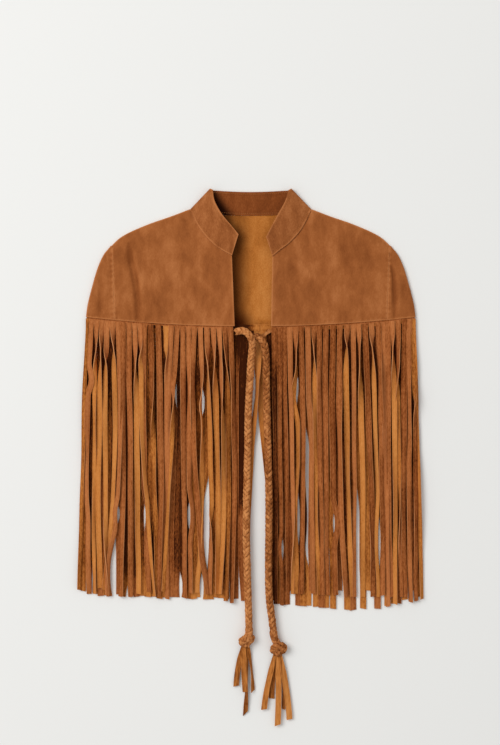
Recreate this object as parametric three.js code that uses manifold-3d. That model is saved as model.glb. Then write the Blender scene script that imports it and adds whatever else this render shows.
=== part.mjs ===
// A fringed suede shoulder cape, laid flat on its back with its tie half knotted.
// Millimetres, +Z up. X runs across the cape, +Y towards the collar, and the surface it lies on is z = 0.
// The drawing below is about the middle of the yoke. The finished part's origin is the middle of the
// footprint of the cape without its ties, on the surface it lies on.
import * as THREE from "three";
import { mergeVertices } from "three/addons/utils/BufferGeometryUtils.js";
import Module from "manifold-3d";

const wasm = await Module();
wasm.setup();

// ---- Driving sizes ----
const SUEDE = 1.4; // one layer of the yoke
const COLLAR_WALL = 2; // collar band, suede outside and in
const THONG = 1.2; // fringe and tassel leather
const SEAM_GAP = 0.5; // between two pieces that are sewn edge to edge
const LAYER_GAP = 0.3; // between two pieces that lie on each other

const HEM_HALF_WIDTH = 264;
const HEM_CENTRE_Y = -91;
const HEM_SIDE_RISE = 15; // the hem curves up to the side folds by this
const SHOULDER_POINT = { x: 222, y: 39 }; // where the cap seam meets the shoulder
const CAP_SEAM_HEM_X = 218;
const NECK_POINT = { x: 97.5, y: 96.5 }; // where collar and shoulder meet
const BACK_NECK_Y = 86.3;
const COLLAR_TOP_Y = 125.4; // top edge of the collar at the centre back
const COLLAR_CORNER = { x: 64, y: 130 }; // where the collar folds from front to back

const BACK_MID = SUEDE / 2;
const SIDE_MID = 6; // height of the front yoke's middle surface over most of its width
const SHOULDER_MID = 2.6; // and along the shoulder seam
const SHOULDER_ROLL = 16; // width over which it comes down to that seam

const NECK_STEPS = 7; // steps along each front neck seam, shared by panel and collar
const STRIP_TUCK = 12; // the fringe's uncut strip reaches this far under the yoke
const STRIP_SHOWS = 3; // and this far below its hem
const CORD_DIAMETER = 12.5;

// The two front panels. edge: the opening edge's distance from the centre line, at the neck and at the hem.
// lift: how far that edge stands off the back. collarX, collarY: the collar's free upper corner.
const FRONTS = [
  { name: "left", sign: -1, edgeNeck: 30, edgeHem: 25.6, neckY: 22, lift: 7.8, collarX: 19.5, collarY: 55.5 },
  { name: "right", sign: 1, edgeNeck: 34.5, edgeHem: 32.6, neckY: 21, lift: 4.4, collarX: 24.5, collarY: 51.5 },
];

// ---- Small helpers ----
const lerp = (a, b, t) => a + (b - a) * t;
const clamp01 = (t) => Math.min(1, Math.max(0, t));
const smooth = (t) => clamp01(t) ** 2 * (3 - 2 * clamp01(t));
// The same "random" number from 0 to 1 for a strand i and a purpose k, every time.
const dice = (i, k) => {
  const s = Math.sin(i * 12.9898 + k * 78.233) * 43758.5453;
  return s - Math.floor(s);
};
const spline = (points) => new THREE.SplineCurve(points.map(([x, y]) => new THREE.Vector2(x, y)));
const hemY = (x) => HEM_CENTRE_Y + HEM_SIDE_RISE * (x / HEM_HALF_WIDTH) ** 2;

// A closed wall of even thickness around a grid of points on its middle surface.
function wall(grid, thickness) {
  const columns = grid.length;
  const rows = grid[0].length;
  const along = new THREE.Vector3();
  const up = new THREE.Vector3();
  const face = [1, -1].map((side) =>
    grid.map((column, i) =>
      column.map((point, j) => {
        along.subVectors(grid[Math.min(i + 1, columns - 1)][j], grid[Math.max(i - 1, 0)][j]);
        up.subVectors(column[Math.min(j + 1, rows - 1)], column[Math.max(j - 1, 0)]);
        const normal = along.clone().cross(up).normalize();
        return point.clone().addScaledVector(normal, (side * thickness) / 2);
      }),
    ),
  );
  const [outer, inner] = face;
  const triangles = [];
  const quad = (a, b, c, d) => triangles.push(a, b, c, a, c, d);
  for (let i = 0; i < columns - 1; i++) {
    for (let j = 0; j < rows - 1; j++) {
      quad(outer[i][j], outer[i + 1][j], outer[i + 1][j + 1], outer[i][j + 1]);
      quad(inner[i][j], inner[i][j + 1], inner[i + 1][j + 1], inner[i + 1][j]);
    }
    const last = rows - 1;
    quad(outer[i][0], inner[i][0], inner[i + 1][0], outer[i + 1][0]);
    quad(outer[i][last], outer[i + 1][last], inner[i + 1][last], inner[i][last]);
  }
  for (let j = 0; j < rows - 1; j++) {
    const last = columns - 1;
    quad(outer[0][j], outer[0][j + 1], inner[0][j + 1], inner[0][j]);
    quad(outer[last][j], inner[last][j], inner[last][j + 1], outer[last][j + 1]);
  }
  return fromTriangles(triangles);
}

// The four sides of a ribbon between two rings of corners: top left, top right, bottom right, bottom left.
// Top and bottom are split along the same diagonal, so a thin ribbon that twists doesn't cut itself.
function ribbonSides(ring, next, triangles) {
  for (let k = 0; k < 4; k++) {
    const m = (k + 1) % 4;
    if (k === 2) triangles.push(ring[k], next[k], next[m], ring[k], next[m], ring[m]);
    else triangles.push(ring[m], ring[k], next[k], ring[m], next[k], next[m]);
  }
}

function fromTriangles(points) {
  return new THREE.BufferGeometry().setFromPoints(points);
}

// ---- Outline curves, for x > 0 ----
const neckSeam = (front) =>
  spline([
    [front.edgeNeck, front.neckY],
    [46, 30.5],
    [61, 42],
    [78, 60.5],
    [89, 79],
    [NECK_POINT.x, NECK_POINT.y],
  ]);
const shoulderLine = spline([
  [NECK_POINT.x, NECK_POINT.y],
  [130, 84.3],
  [160, 74],
  [190, 61.5],
  [209, 51],
  [SHOULDER_POINT.x, SHOULDER_POINT.y],
]);
const sideFold = spline([
  [HEM_HALF_WIDTH, hemY(HEM_HALF_WIDTH)],
  [261, -55],
  [254, -27],
  [245.5, 2],
  [236, 23],
  [226, 36.5],
]);
const backNeck = spline([
  [NECK_POINT.x, NECK_POINT.y],
  [75, 91.3],
  [48, 87.6],
  [0, BACK_NECK_Y],
]);
const collarTop = (front) =>
  spline([
    [front.collarX, front.collarY],
    [lerp(front.collarX, 44, 0.45), 69],
    [43, 87],
    [55, 109],
    [COLLAR_CORNER.x, COLLAR_CORNER.y],
  ]);

// Height of the front's middle surface, away from the shoulder and neck: flat, and lifted towards the opening.
const LIFT_REACH = 80;
function frontHeight(front, x) {
  const fromEdge = Math.abs(x) - front.edgeHem;
  return SIDE_MID + front.lift * clamp01(1 - fromEdge / LIFT_REACH) ** 2;
}
// Soft vertical folds of the front yoke: where they start at the hem, how far they lean, how wide and deep.
const FOLDS = [
  { side: "left", x: 190, lean: 6, halfWidth: 11, depth: -0.6, reach: 0.85 },
  { side: "left", x: 158, lean: -4, halfWidth: 16, depth: 0.9, reach: 0.7 },
  { side: "left", x: 92, lean: 8, halfWidth: 14, depth: 0.8, reach: 0.9 },
  { side: "right", x: 205, lean: 5, halfWidth: 9, depth: -0.55, reach: 0.8 },
  { side: "right", x: 150, lean: -5, halfWidth: 18, depth: 0.9, reach: 0.75 },
  { side: "right", x: 84, lean: 6, halfWidth: 15, depth: 0.7, reach: 0.9 },
];
function foldHeight(front, x, up) {
  return FOLDS.filter((fold) => fold.side === front.name).reduce((sum, fold) => {
    const off = (Math.abs(x) - fold.x - fold.lean * up) / fold.halfWidth;
    return sum + fold.depth * Math.exp(-off * off) * (1 - smooth(up / fold.reach));
  }, 0);
}

// ---- Cut pieces ----
// Height of the collar's foot, and of the panel's neck edge beside it, from the opening (0) to the shoulder (1).
const neckHeight = (front, w) => lerp(SIDE_MID + front.lift, 4.4, smooth(w));

function frontPanel(front) {
  const COLUMNS = 18;
  const ROWS = 8;
  const neckShare = NECK_STEPS / COLUMNS; // share of the columns that end on the neck seam
  const neck = neckSeam(front);
  const seamX = CAP_SEAM_HEM_X - SEAM_GAP / 2;
  const seamTopX = SHOULDER_POINT.x - SEAM_GAP / 2;
  const grid = [];
  for (let i = 0; i <= COLUMNS; i++) {
    const u = i / COLUMNS;
    const onNeck = u <= neckShare;
    const share = onNeck ? u / neckShare : (u - neckShare) / (1 - neckShare);
    const top = onNeck ? neck.getPoint(share) : shoulderLine.getPoint(share);
    if (u === 1) top.x = seamTopX;
    const footX = lerp(front.edgeHem, seamX, u);
    const length = top.y - hemY(footX);
    const column = [];
    for (let j = 0; j <= ROWS; j++) {
      const v = j / ROWS;
      const x = lerp(footX, top.x, v);
      const y = lerp(hemY(footX), top.y, v);
      const fromTop = (1 - v) * length;
      const flat = frontHeight(front, x) + foldHeight(front, x, v);
      const edge = onNeck ? neckHeight(front, share) : lerp(4.4, SHOULDER_MID, smooth(share * 6));
      const roll = onNeck ? lerp(40, SHOULDER_ROLL, share) : SHOULDER_ROLL;
      const z = lerp(edge, flat, smooth(fromTop / roll));
      column.push(new THREE.Vector3(front.sign * x, y, z));
    }
    grid.push(column);
  }
  return wall(front.sign > 0 ? grid : grid.reverse(), SUEDE);
}

function backYoke() {
  const half = [];
  const STEPS = 9;
  const seamX = CAP_SEAM_HEM_X - SEAM_GAP / 2;
  for (let i = 0; i <= STEPS; i++) {
    const x = lerp(0, seamX, i / STEPS);
    half.push([x, hemY(x)]);
  }
  for (let i = STEPS; i >= 0; i--) {
    const p = shoulderLine.getPoint(i / STEPS);
    half.push([Math.min(p.x, SHOULDER_POINT.x - SEAM_GAP / 2), p.y]);
  }
  for (let i = 1; i <= STEPS; i++) {
    const p = backNeck.getPoint(i / STEPS);
    half.push([p.x, p.y]);
  }
  const mirrored = half.slice(1, -1).reverse().map(([x, y]) => [-x, y]);
  const outline = [...half, ...mirrored].map(([x, y]) => new THREE.Vector2(x, y));
  return new THREE.ExtrudeGeometry(new THREE.Shape(outline), { depth: SUEDE, bevelEnabled: false });
}

// The outer half of each shoulder: one piece that folds round the cape's side from front to back.
function shoulderCap(front) {
  const ROWS = 6;
  const FRONT_STEPS = 3;
  const FOLD_STEPS = 5;
  const grid = Array.from({ length: 2 * FRONT_STEPS + FOLD_STEPS + 1 }, () => []);
  for (let j = 0; j <= ROWS; j++) {
    const v = j / ROWS;
    const fold = sideFold.getPoint(v);
    const seam = {
      x: lerp(CAP_SEAM_HEM_X, SHOULDER_POINT.x, v) + SEAM_GAP / 2,
      y: lerp(hemY(CAP_SEAM_HEM_X), 35.5, v),
    };
    const frontMid = lerp(SIDE_MID, 4, smooth((v - 0.6) / 0.4));
    const radius = (frontMid - BACK_MID) / 2;
    const centreX = fold.x - radius - SUEDE / 2;
    const at = (x, z) => {
      const y = lerp(seam.y, fold.y, clamp01((x - seam.x) / (fold.x - seam.x)));
      return new THREE.Vector3(front.sign * x, y, z);
    };
    for (let i = 0; i < FRONT_STEPS; i++) {
      const x = lerp(seam.x, centreX, i / FRONT_STEPS);
      grid[i].push(at(x, frontMid));
      grid[grid.length - 1 - i].push(at(x, BACK_MID));
    }
    for (let i = 0; i <= FOLD_STEPS; i++) {
      const turn = (Math.PI * i) / FOLD_STEPS;
      const x = centreX + radius * Math.sin(turn);
      grid[FRONT_STEPS + i].push(at(x, BACK_MID + radius * (1 + Math.cos(turn))));
    }
  }
  return wall(front.sign > 0 ? grid : grid.reverse(), SUEDE);
}

// The stand collar: one band from the left opening round the back of the neck to the right opening.
function collar() {
  const FOLD_STEPS = 5;
  const BACK_STEPS = 9; // from the fold to the centre back, as on the back yoke's neck edge
  const BACK_HEIGHT = COLLAR_WALL / 2;
  const halves = FRONTS.map((front) => {
    const foot = neckSeam(front);
    const top = collarTop(front);
    const columns = [];
    const push = (a, za, b, zb, bulge = 0) =>
      columns.push(
        [0, 0.5, 1].map(
          (v) =>
            new THREE.Vector3(
              front.sign * lerp(a.x, b.x, v),
              lerp(a.y, b.y, v),
              lerp(za, zb, v) + bulge * 4 * v * (1 - v),
            ),
        ),
      );
    const footAt = (w) => {
      const tangent = foot.getTangent(w);
      const p = foot.getPoint(w);
      return { x: p.x - tangent.y * SEAM_GAP, y: p.y + tangent.x * SEAM_GAP };
    };
    const STAND = 3.4; // the top edge stands this much higher than the foot
    for (let i = 0; i < NECK_STEPS; i++) {
      const w = i / NECK_STEPS;
      const z = neckHeight(front, w);
      push(footAt(w), z, top.getPoint(w), z + STAND, 0.8);
    }
    const outward = new THREE.Vector2(1, 1).normalize();
    const a = footAt(1);
    for (let i = 0; i <= FOLD_STEPS; i++) {
      const turn = (Math.PI * i) / FOLD_STEPS;
      const place = (p, z) => {
        const radius = (z - BACK_HEIGHT) / 2;
        const out = radius * Math.sin(turn);
        return [
          { x: p.x + outward.x * out, y: p.y + outward.y * out },
          BACK_HEIGHT + radius * (1 + Math.cos(turn)),
        ];
      };
      const [foldFoot, footZ] = place(a, neckHeight(front, 1));
      const [foldTop, topZ] = place(COLLAR_CORNER, neckHeight(front, 1) + STAND);
      push(foldFoot, footZ, foldTop, topZ);
    }
    for (let i = 1; i <= BACK_STEPS; i++) {
      const w = i / BACK_STEPS;
      const p = backNeck.getPoint(w);
      const topX = lerp(COLLAR_CORNER.x, 0, w);
      const topY = lerp(COLLAR_TOP_Y, COLLAR_CORNER.y, (topX / COLLAR_CORNER.x) ** 2);
      push({ x: p.x, y: p.y + SEAM_GAP }, BACK_HEIGHT, { x: topX, y: topY }, BACK_HEIGHT);
    }
    return columns;
  });
  const [left, right] = halves;
  right.pop(); // both halves end on the centre back
  return wall([...left, ...right.reverse()].reverse(), COLLAR_WALL);
}

// ---- Fringe ----
// root and end: from and to which x the strands are spread, at the hem and at their cut ends.
// turned: the strands that turn over and show their other side. gaps: where the strands part further down,
// x: about where, open: how wide, from and to: over which share of the length, reach: how far it pushes.
const FRINGES = {
  left: {
    lanes: 26,
    root: [-HEM_HALF_WIDTH + 3.6, -26.4],
    end: [-279.5, -17],
    turned: [0, 4, 7, 9, 12, 14, 16, 20, 22],
    gaps: [
      { x: -267, open: 4, from: 0.6, to: 0.8, reach: 40 },
      { x: -217, open: 7, from: 0.72, to: 1.4, reach: 45 },
      { x: -171, open: 3.5, from: 0.6, to: 0.8, reach: 40 },
      { x: -99, open: 4, from: 0.58, to: 0.8, reach: 40 },
      { x: -72, open: 8.5, from: 0.5, to: 0.9, reach: 50 },
    ],
  },
  right: {
    lanes: 25,
    root: [34.2, HEM_HALF_WIDTH - 3.6],
    end: [37.5, 279.5],
    turned: [2, 5, 7, 12, 13, 16, 20, 24],
    gaps: [
      { x: 90, open: 6.5, from: 0.28, to: 0.9, reach: 45 },
      { x: 133, open: 4, from: 0.6, to: 0.8, reach: 40 },
      { x: 172, open: 8, from: 0.5, to: 1.3, reach: 50 },
      { x: 206, open: 4, from: 0.62, to: 0.9, reach: 40 },
      { x: 269, open: 4.5, from: 0.8, to: 1.3, reach: 40 },
    ],
  },
  back_left: {
    lanes: 30,
    root: [-HEM_HALF_WIDTH + 3.8, 13.5],
    end: [-273, 14.4],
    turned: [],
    gaps: [
      { x: 14, open: 28, from: 0.27, to: 2.2, reach: 120 },
      { x: -217, open: 6, from: 0.75, to: 1.5, reach: 45 },
      { x: -72, open: 6, from: 0.5, to: 1.1, reach: 45 },
    ],
  },
  back_right: {
    lanes: 27,
    root: [14.2, HEM_HALF_WIDTH - 3.8],
    end: [14.4, 273],
    turned: [],
    gaps: [
      { x: 14, open: 28, from: 0.27, to: 2.2, reach: 120 },
      { x: 88, open: 6, from: 0.32, to: 1.1, reach: 50 },
      { x: 172, open: 6, from: 0.5, to: 1.4, reach: 50 },
    ],
  },
};
const STRAND_WIDTH = 7.5;
const STRAND_RINGS = [0, 0.035, 0.12, 0.24, 0.4, 0.6, 0.8, 1]; // share of the strand's length
const FRONT_FLOOR = 5.6; // front strands stay above this, and back strands below it
const BACK_FLOOR = 0.4;
// The cut ends of the fringe, from left to right across the cape.
const frontEnds = spline([
  [-280, -512],
  [-240, -518],
  [-150, -523],
  [-60, -519],
  [0, -528],
  [120, -520],
  [200, -523],
  [280, -527],
]);
const backEnds = spline([
  [-280, -514],
  [-240, -520],
  [-160, -528],
  [-60, -526],
  [40, -536],
  [110, -541],
  [160, -545],
  [210, -540],
  [250, -531],
  [280, -526],
]);
// Below the hem the folded side opens, so the outer strands swing out at once and then more slowly.
const flare = (t) => 0.3 * smooth(t / 0.035) + 0.7 * (1 - (1 - t) ** 1.4);
const endY = (curve, x) => curve.getPoint(clamp01((x + 280) / 560)).y;

function laneShift(fringe, x, t) {
  const pitch = (fringe.end[1] - fringe.end[0]) / fringe.lanes;
  return fringe.gaps.reduce((sum, gap) => {
    const between = fringe.end[0] + pitch * Math.round((gap.x - fringe.end[0]) / pitch);
    const open = smooth((t - gap.from) / 0.22) * (1 - smooth((t - gap.to) / 0.2));
    const off = x - between;
    return sum + Math.tanh(off / 2.5) * (gap.open / 2) * open * Math.exp(-Math.abs(off) / gap.reach);
  }, 0);
}

// One fringe: an uncut strip with strands cut from it. stripHeight(x) is the height of the strip's middle.
function fringeComb(name, stripHeight) {
  const fringe = FRINGES[name];
  const isBack = name.startsWith("back");
  const floor = isBack ? BACK_FLOOR : FRONT_FLOOR;
  const seed = 100 * (1 + Object.keys(FRINGES).indexOf(name));
  const half = THONG / 2;
  const triangles = [];
  const quad = (a, b, c, d) => triangles.push(a, b, c, a, c, d);
  // The four corners of the strip at x: upper and lower face, at its top and bottom edge.
  const stripAt = (x) => {
    const z = stripHeight(x);
    const top = hemY(x) + STRIP_TUCK;
    const foot = hemY(x) - STRIP_SHOWS;
    return [
      new THREE.Vector3(x, top, z + half),
      new THREE.Vector3(x, foot, z + half),
      new THREE.Vector3(x, foot, z - half),
      new THREE.Vector3(x, top, z - half),
    ];
  };
  const column = (a, b) => {
    quad(a[1], b[1], b[0], a[0]);
    quad(a[3], b[3], b[2], a[2]);
    quad(a[0], b[0], b[3], a[3]);
  };
  let before = null;
  for (let i = 0; i < fringe.lanes; i++) {
    const lane = (i + 0.5) / fringe.lanes;
    const width = STRAND_WIDTH + 0.3 * (dice(i, seed) - 0.5);
    const rootX = lerp(fringe.root[0], fringe.root[1], lane);
    const restX = lerp(fringe.end[0], fringe.end[1], lane);
    const left = stripAt(rootX - width / 2);
    const right = stripAt(rootX + width / 2);
    if (before) {
      column(before, left);
      quad(before[2], left[2], left[1], before[1]);
    } else {
      quad(left[0], left[3], left[2], left[1]);
    }
    column(left, right);
    before = right;

    const rootY = hemY(rootX) - STRIP_SHOWS;
    const rootZ = stripHeight(rootX);
    const tipY = endY(isBack ? backEnds : frontEnds, restX) + 5 * (dice(i, seed + 1) - 0.5);
    const isTurned = fringe.turned.includes(i);
    const way = dice(i, seed + 2) < 0.5 ? -1 : 1;
    const partRoll = isBack ? 0.3 * dice(i, seed + 3) : 0.35 + 0.75 * dice(i, seed + 3);
    const mostTurned = 0.1 + 0.25 * dice(i, seed + 4);
    let ring = [left[1], right[1], right[2], left[2]];
    for (const t of STRAND_RINGS.slice(1)) {
      const x = lerp(rootX, restX, flare(t)) + laneShift(fringe, restX, t);
      const roll = isTurned
        ? way * Math.PI * smooth((t - 0.02) / 0.8)
        : way * partRoll * Math.sin(Math.PI * clamp01((t - 0.05) / (mostTurned + 0.6)));
      const rise = (width / 2) * Math.abs(Math.sin(roll));
      const z = lerp(rootZ, floor + half + rise, smooth(t / 0.3));
      const y = lerp(rootY, tipY, t);
      const across = new THREE.Vector3(Math.cos(roll), 0, Math.sin(roll)).multiplyScalar(width / 2);
      const deep = new THREE.Vector3(-Math.sin(roll), 0, Math.cos(roll)).multiplyScalar(half);
      const centre = new THREE.Vector3(x, y, z);
      const corner = (a, d) => centre.clone().addScaledVector(across, a).addScaledVector(deep, d);
      const next = [corner(-1, 1), corner(1, 1), corner(1, -1), corner(-1, -1)];
      ribbonSides(ring, next, triangles);
      ring = next;
    }
    quad(ring[3], ring[2], ring[1], ring[0]);
  }
  quad(before[0], before[1], before[2], before[3]);
  return fromTriangles(triangles);
}

const frontStripHeight = (front) => (x) =>
  frontHeight(front, x) + foldHeight(front, x, 0) - SUEDE / 2 - LAYER_GAP - THONG / 2;
const backStripHeight = () => SUEDE + LAYER_GAP + THONG / 2;

// ---- Tie: two braided cords, half knotted, each with a knot and a tassel at its end ----
const TIES = [
  {
    name: "left",
    route: [
      [-23.6, -99.6, 12.4],
      [-18, -98.4, 14.5],
      [-11, -98.5, 18],
      [-4, -103.6, 21],
      [1.6, -112.8, 21],
      [2.6, -123, 16.5],
      [1.4, -136, 12.6],
      [0, -152, 12.4],
      [-1, -176, 12.4],
      [-3.5, -214, 12.4],
      [-4.6, -278, 12.4],
      [-6.2, -350, 12.4],
      [-7.2, -416, 12.4],
      [-5.8, -472, 12.4],
      [-4, -530, 12.4],
      [-3.2, -556, 9.5],
      [-2.9, -579.6, 8.2],
    ],
    knot: [
      [-3.5, -588, 9.2, 8.2, 7.6, 8.4],
      [-11.6, -595.5, 8.9, 8.6, 9, 8],
      [0.6, -591, 8.2, 6.4, 8.4, 7.2],
    ],
    head: [-8, -608.6],
    strands: [
      { endX: -23.4, endY: -667, width: 8.8, z: 3.4, roll: 0 },
      { endX: -8.6, endY: -676, width: 8.8, z: 6.4, roll: 0.1 },
      { endX: -8.5, endY: -711, width: 6.5, z: 2.6, roll: 0.35 },
      { endX: 3.4, endY: -675, width: 6, z: 4.2, roll: -0.7 },
    ],
  },
  {
    name: "right",
    route: [
      [9.6, -104.6, 13.8],
      [15, -105.4, 14],
      [20.4, -112.4, 14.4],
      [23.2, -126, 13.4],
      [24.4, -144, 12.4],
      [24.8, -176, 12.4],
      [25.4, -214, 12.4],
      [27.2, -278, 12.4],
      [28.8, -350, 12.4],
      [28.9, -422, 12.4],
      [28.4, -472, 12.4],
      [29.6, -524, 12.4],
      [33.6, -557, 10],
      [37.4, -587.2, 8.4],
    ],
    knot: [
      [42, -597, 9.4, 10.6, 8.4, 8.8],
      [35.6, -601, 8.6, 7, 8, 7.8],
      [50, -605, 8.6, 7.6, 9.4, 8],
      [42.6, -610, 8, 9, 6.6, 7.4],
    ],
    head: [43, -620.8],
    strands: [
      { endX: 21.3, endY: -704, width: 9, z: 5.6, roll: 0.1 },
      { endX: 33.4, endY: -687, width: 8.6, z: 2.2, roll: 0 },
      { endX: 43, endY: -729, width: 9.2, z: 6.8, roll: 0 },
      { endX: 52.6, endY: -704, width: 6, z: 3, roll: 0.8 },
      { endX: 62, endY: -720, width: 9.2, z: 5.2, roll: -0.1 },
    ],
  },
];

function cordTube(route) {
  const SIDES = 8;
  const STEPS = 44;
  const path = new THREE.CatmullRomCurve3(route.map((p) => new THREE.Vector3(...p)));
  const section = new THREE.Shape(
    Array.from({ length: SIDES }, (_, k) => {
      const turn = (2 * Math.PI * (k + 0.5)) / SIDES;
      return new THREE.Vector2(Math.cos(turn), Math.sin(turn)).multiplyScalar(CORD_DIAMETER / 2);
    }),
  );
  return new THREE.ExtrudeGeometry(section, { steps: STEPS, extrudePath: path, bevelEnabled: false });
}

function solid(geometry) {
  const bare = geometry.index ? geometry.toNonIndexed() : geometry.clone();
  bare.deleteAttribute("normal");
  bare.deleteAttribute("uv");
  const merged = mergeVertices(bare, 1e-4);
  const vertProperties = merged.attributes.position.array;
  const triVerts = new Uint32Array(merged.index.array);
  return new wasm.Manifold(new wasm.Mesh({ numProp: 3, vertProperties, triVerts }));
}

function joined(geometries) {
  const whole = geometries.map(solid).reduce((a, b) => a.add(b));
  const mesh = whole.getMesh();
  return new THREE.BufferGeometry()
    .setAttribute("position", new THREE.BufferAttribute(Float32Array.from(mesh.vertProperties), 3))
    .setIndex(new THREE.BufferAttribute(mesh.triVerts, 1));
}

// An end knot is the cord's own loops drawn tight: three or four rounded lobes, [x, y, z, radii along x, y, z].
function endKnot(lobes) {
  return joined(
    lobes.map(([x, y, z, rx, ry, rz]) =>
      new THREE.SphereGeometry(1, 12, 8).scale(rx, ry, rz).translate(x, y, z),
    ),
  );
}

// The braid's thongs hang loose below its knot, fused into a short head.
function tassel(tie) {
  const HEAD = { radius: 5.4, length: 7 };
  const STEPS = 4;
  const [headX, headY] = tie.head;
  const headZ = HEAD.radius + 0.6;
  const head = new THREE.CylinderGeometry(HEAD.radius, HEAD.radius, HEAD.length, 10);
  head.translate(headX, headY, headZ);
  const strands = tie.strands.map((strand, k) => {
    const spread = (k / (tie.strands.length - 1) - 0.5) * 5.4;
    const triangles = [];
    const quad = (a, b, c, d) => triangles.push(a, b, c, a, c, d);
    const rings = Array.from({ length: STEPS + 1 }, (_, step) => {
      const t = step / STEPS;
      const roll = strand.roll * smooth(t * 1.5);
      const width = lerp(4.6, strand.width, smooth(t * 2.5));
      const x = lerp(headX + spread, strand.endX, t);
      const y = lerp(headY, strand.endY, t);
      const rest = strand.z + (width / 2) * Math.abs(Math.sin(roll));
      const centre = new THREE.Vector3(x, y, lerp(headZ + (strand.z - 4) * 0.9, rest, smooth(t * 1.3)));
      const across = new THREE.Vector3(Math.cos(roll), 0, Math.sin(roll)).multiplyScalar(width / 2);
      const deep = new THREE.Vector3(-Math.sin(roll), 0, Math.cos(roll)).multiplyScalar(THONG / 2);
      const corner = (a, d) => centre.clone().addScaledVector(across, a).addScaledVector(deep, d);
      return [corner(-1, 1), corner(1, 1), corner(1, -1), corner(-1, -1)];
    });
    quad(rings[0][0], rings[0][1], rings[0][2], rings[0][3]);
    for (let step = 0; step < STEPS; step++) ribbonSides(rings[step], rings[step + 1], triangles);
    quad(rings[STEPS][3], rings[STEPS][2], rings[STEPS][1], rings[STEPS][0]);
    return fromTriangles(triangles);
  });
  return joined([head, ...strands]);
}

// A short suede strap from the right front's hem corner, sewn under the start of the right cord.
function tieTab() {
  const WIDTH = 6;
  const from = new THREE.Vector2(31.6, -97);
  const to = new THREE.Vector2(15.5, -104.5);
  const across = to.clone().sub(from).normalize().rotateAround(new THREE.Vector2(), Math.PI / 2);
  const columns = [1, -1].map((side) =>
    [0, 0.5, 1].map((t) => {
      const p = from.clone().lerp(to, t).addScaledVector(across, (side * WIDTH) / 2);
      return new THREE.Vector3(p.x, p.y, lerp(8.1, 6.35, smooth(t * 1.6)));
    }),
  );
  return wall(columns, THONG);
}

// ---- The cape ----
const SUEDE_BROWN = new THREE.MeshStandardMaterial({ color: 0x9c5c30, roughness: 0.95, metalness: 0 });
const COLLAR_BROWN = new THREE.MeshStandardMaterial({ color: 0x965830, roughness: 0.95, metalness: 0 });
const FLESH_TAN = new THREE.MeshStandardMaterial({ color: 0xb26d32, roughness: 0.9, metalness: 0 });
const FRINGE_BROWN = new THREE.MeshStandardMaterial({ color: 0x935730, roughness: 0.95, metalness: 0 });
const BRAID_TAN = new THREE.MeshStandardMaterial({ color: 0xb8743f, roughness: 0.85, metalness: 0 });

const cape = new THREE.Group();
const part = new THREE.Group();
part.name = "fringed_suede_cape";
part.add(cape);
function add(name, geometry, material) {
  const mesh = new THREE.Mesh(geometry, material);
  mesh.name = name;
  cape.add(mesh);
}

add("back_yoke", backYoke(), FLESH_TAN);
for (const front of FRONTS) {
  add("front_yoke_" + front.name, frontPanel(front), SUEDE_BROWN);
  add("shoulder_cap_" + front.name, shoulderCap(front), SUEDE_BROWN);
  add("fringe_front_" + front.name, fringeComb(front.name, frontStripHeight(front)), FRINGE_BROWN);
}
for (const side of ["left", "right"]) {
  add("fringe_back_" + side, fringeComb("back_" + side, backStripHeight), FLESH_TAN);
}
add("collar", collar(), COLLAR_BROWN);
for (const tie of TIES) {
  add("tie_cord_" + tie.name, cordTube(tie.route), BRAID_TAN);
  add("tie_knot_" + tie.name, endKnot(tie.knot), BRAID_TAN);
  add("tie_tassel_" + tie.name, tassel(tie), FLESH_TAN);
}
add("tie_tab", tieTab(), FRINGE_BROWN);

// The origin goes to the middle of the footprint, without the ties.
const footprint = new THREE.Box3();
for (const mesh of cape.children) {
  if (!/^tie_(cord|knot|tassel)/.test(mesh.name)) footprint.expandByObject(mesh, true);
}
const middle = footprint.getCenter(new THREE.Vector3());
cape.position.set(-middle.x, -middle.y, 0);

export default part;
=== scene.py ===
import math
import random

import bmesh
import bpy
import numpy as np
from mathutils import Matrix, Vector


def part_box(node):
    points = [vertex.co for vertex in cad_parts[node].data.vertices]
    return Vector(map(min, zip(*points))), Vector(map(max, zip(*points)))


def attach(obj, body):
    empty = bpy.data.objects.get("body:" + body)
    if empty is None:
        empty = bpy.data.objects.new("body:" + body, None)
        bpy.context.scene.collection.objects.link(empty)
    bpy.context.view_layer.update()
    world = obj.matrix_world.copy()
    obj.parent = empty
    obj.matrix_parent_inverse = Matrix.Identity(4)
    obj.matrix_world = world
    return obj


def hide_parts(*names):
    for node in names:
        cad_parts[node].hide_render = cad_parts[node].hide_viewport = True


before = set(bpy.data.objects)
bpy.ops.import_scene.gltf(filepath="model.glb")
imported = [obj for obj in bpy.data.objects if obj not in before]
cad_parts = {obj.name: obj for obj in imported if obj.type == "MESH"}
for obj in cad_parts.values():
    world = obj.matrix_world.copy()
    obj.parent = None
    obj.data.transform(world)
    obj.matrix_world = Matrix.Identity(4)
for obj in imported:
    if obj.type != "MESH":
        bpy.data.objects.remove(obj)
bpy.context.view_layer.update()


# ======== The table, the light and the camera ========
# The cape lies on its back on a plain pale table. The camera looks straight down on it,
# and one large soft lamp stands at the upper left, so every edge has a short shadow at its right.
yoke_low, yoke_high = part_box("back_yoke")
CENTRE_X = (yoke_low.x + yoke_high.x) / 2
YOKE_Y = yoke_low.y + 0.091  # the back yoke's hem hangs 91 mm below the middle of the drawing


def place(x, y, z=0.0):
    """A point of the cape's drawing, in millimetres from the middle of the yoke, in the scene."""
    return Vector((CENTRE_X + x / 1000, YOKE_Y + y / 1000, z / 1000))


def deselect():
    bpy.ops.object.select_all(action="DESELECT")


camera_data = bpy.data.cameras.new("camera")
camera_data.lens = 85
camera_data.sensor_width = 36
camera = bpy.data.objects.new("camera", camera_data)
camera.location = place(-1.2, -164.8, 2820)
bpy.context.collection.objects.link(camera)
bpy.context.scene.camera = camera
bpy.context.scene.view_settings.view_transform = "Standard"

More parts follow.
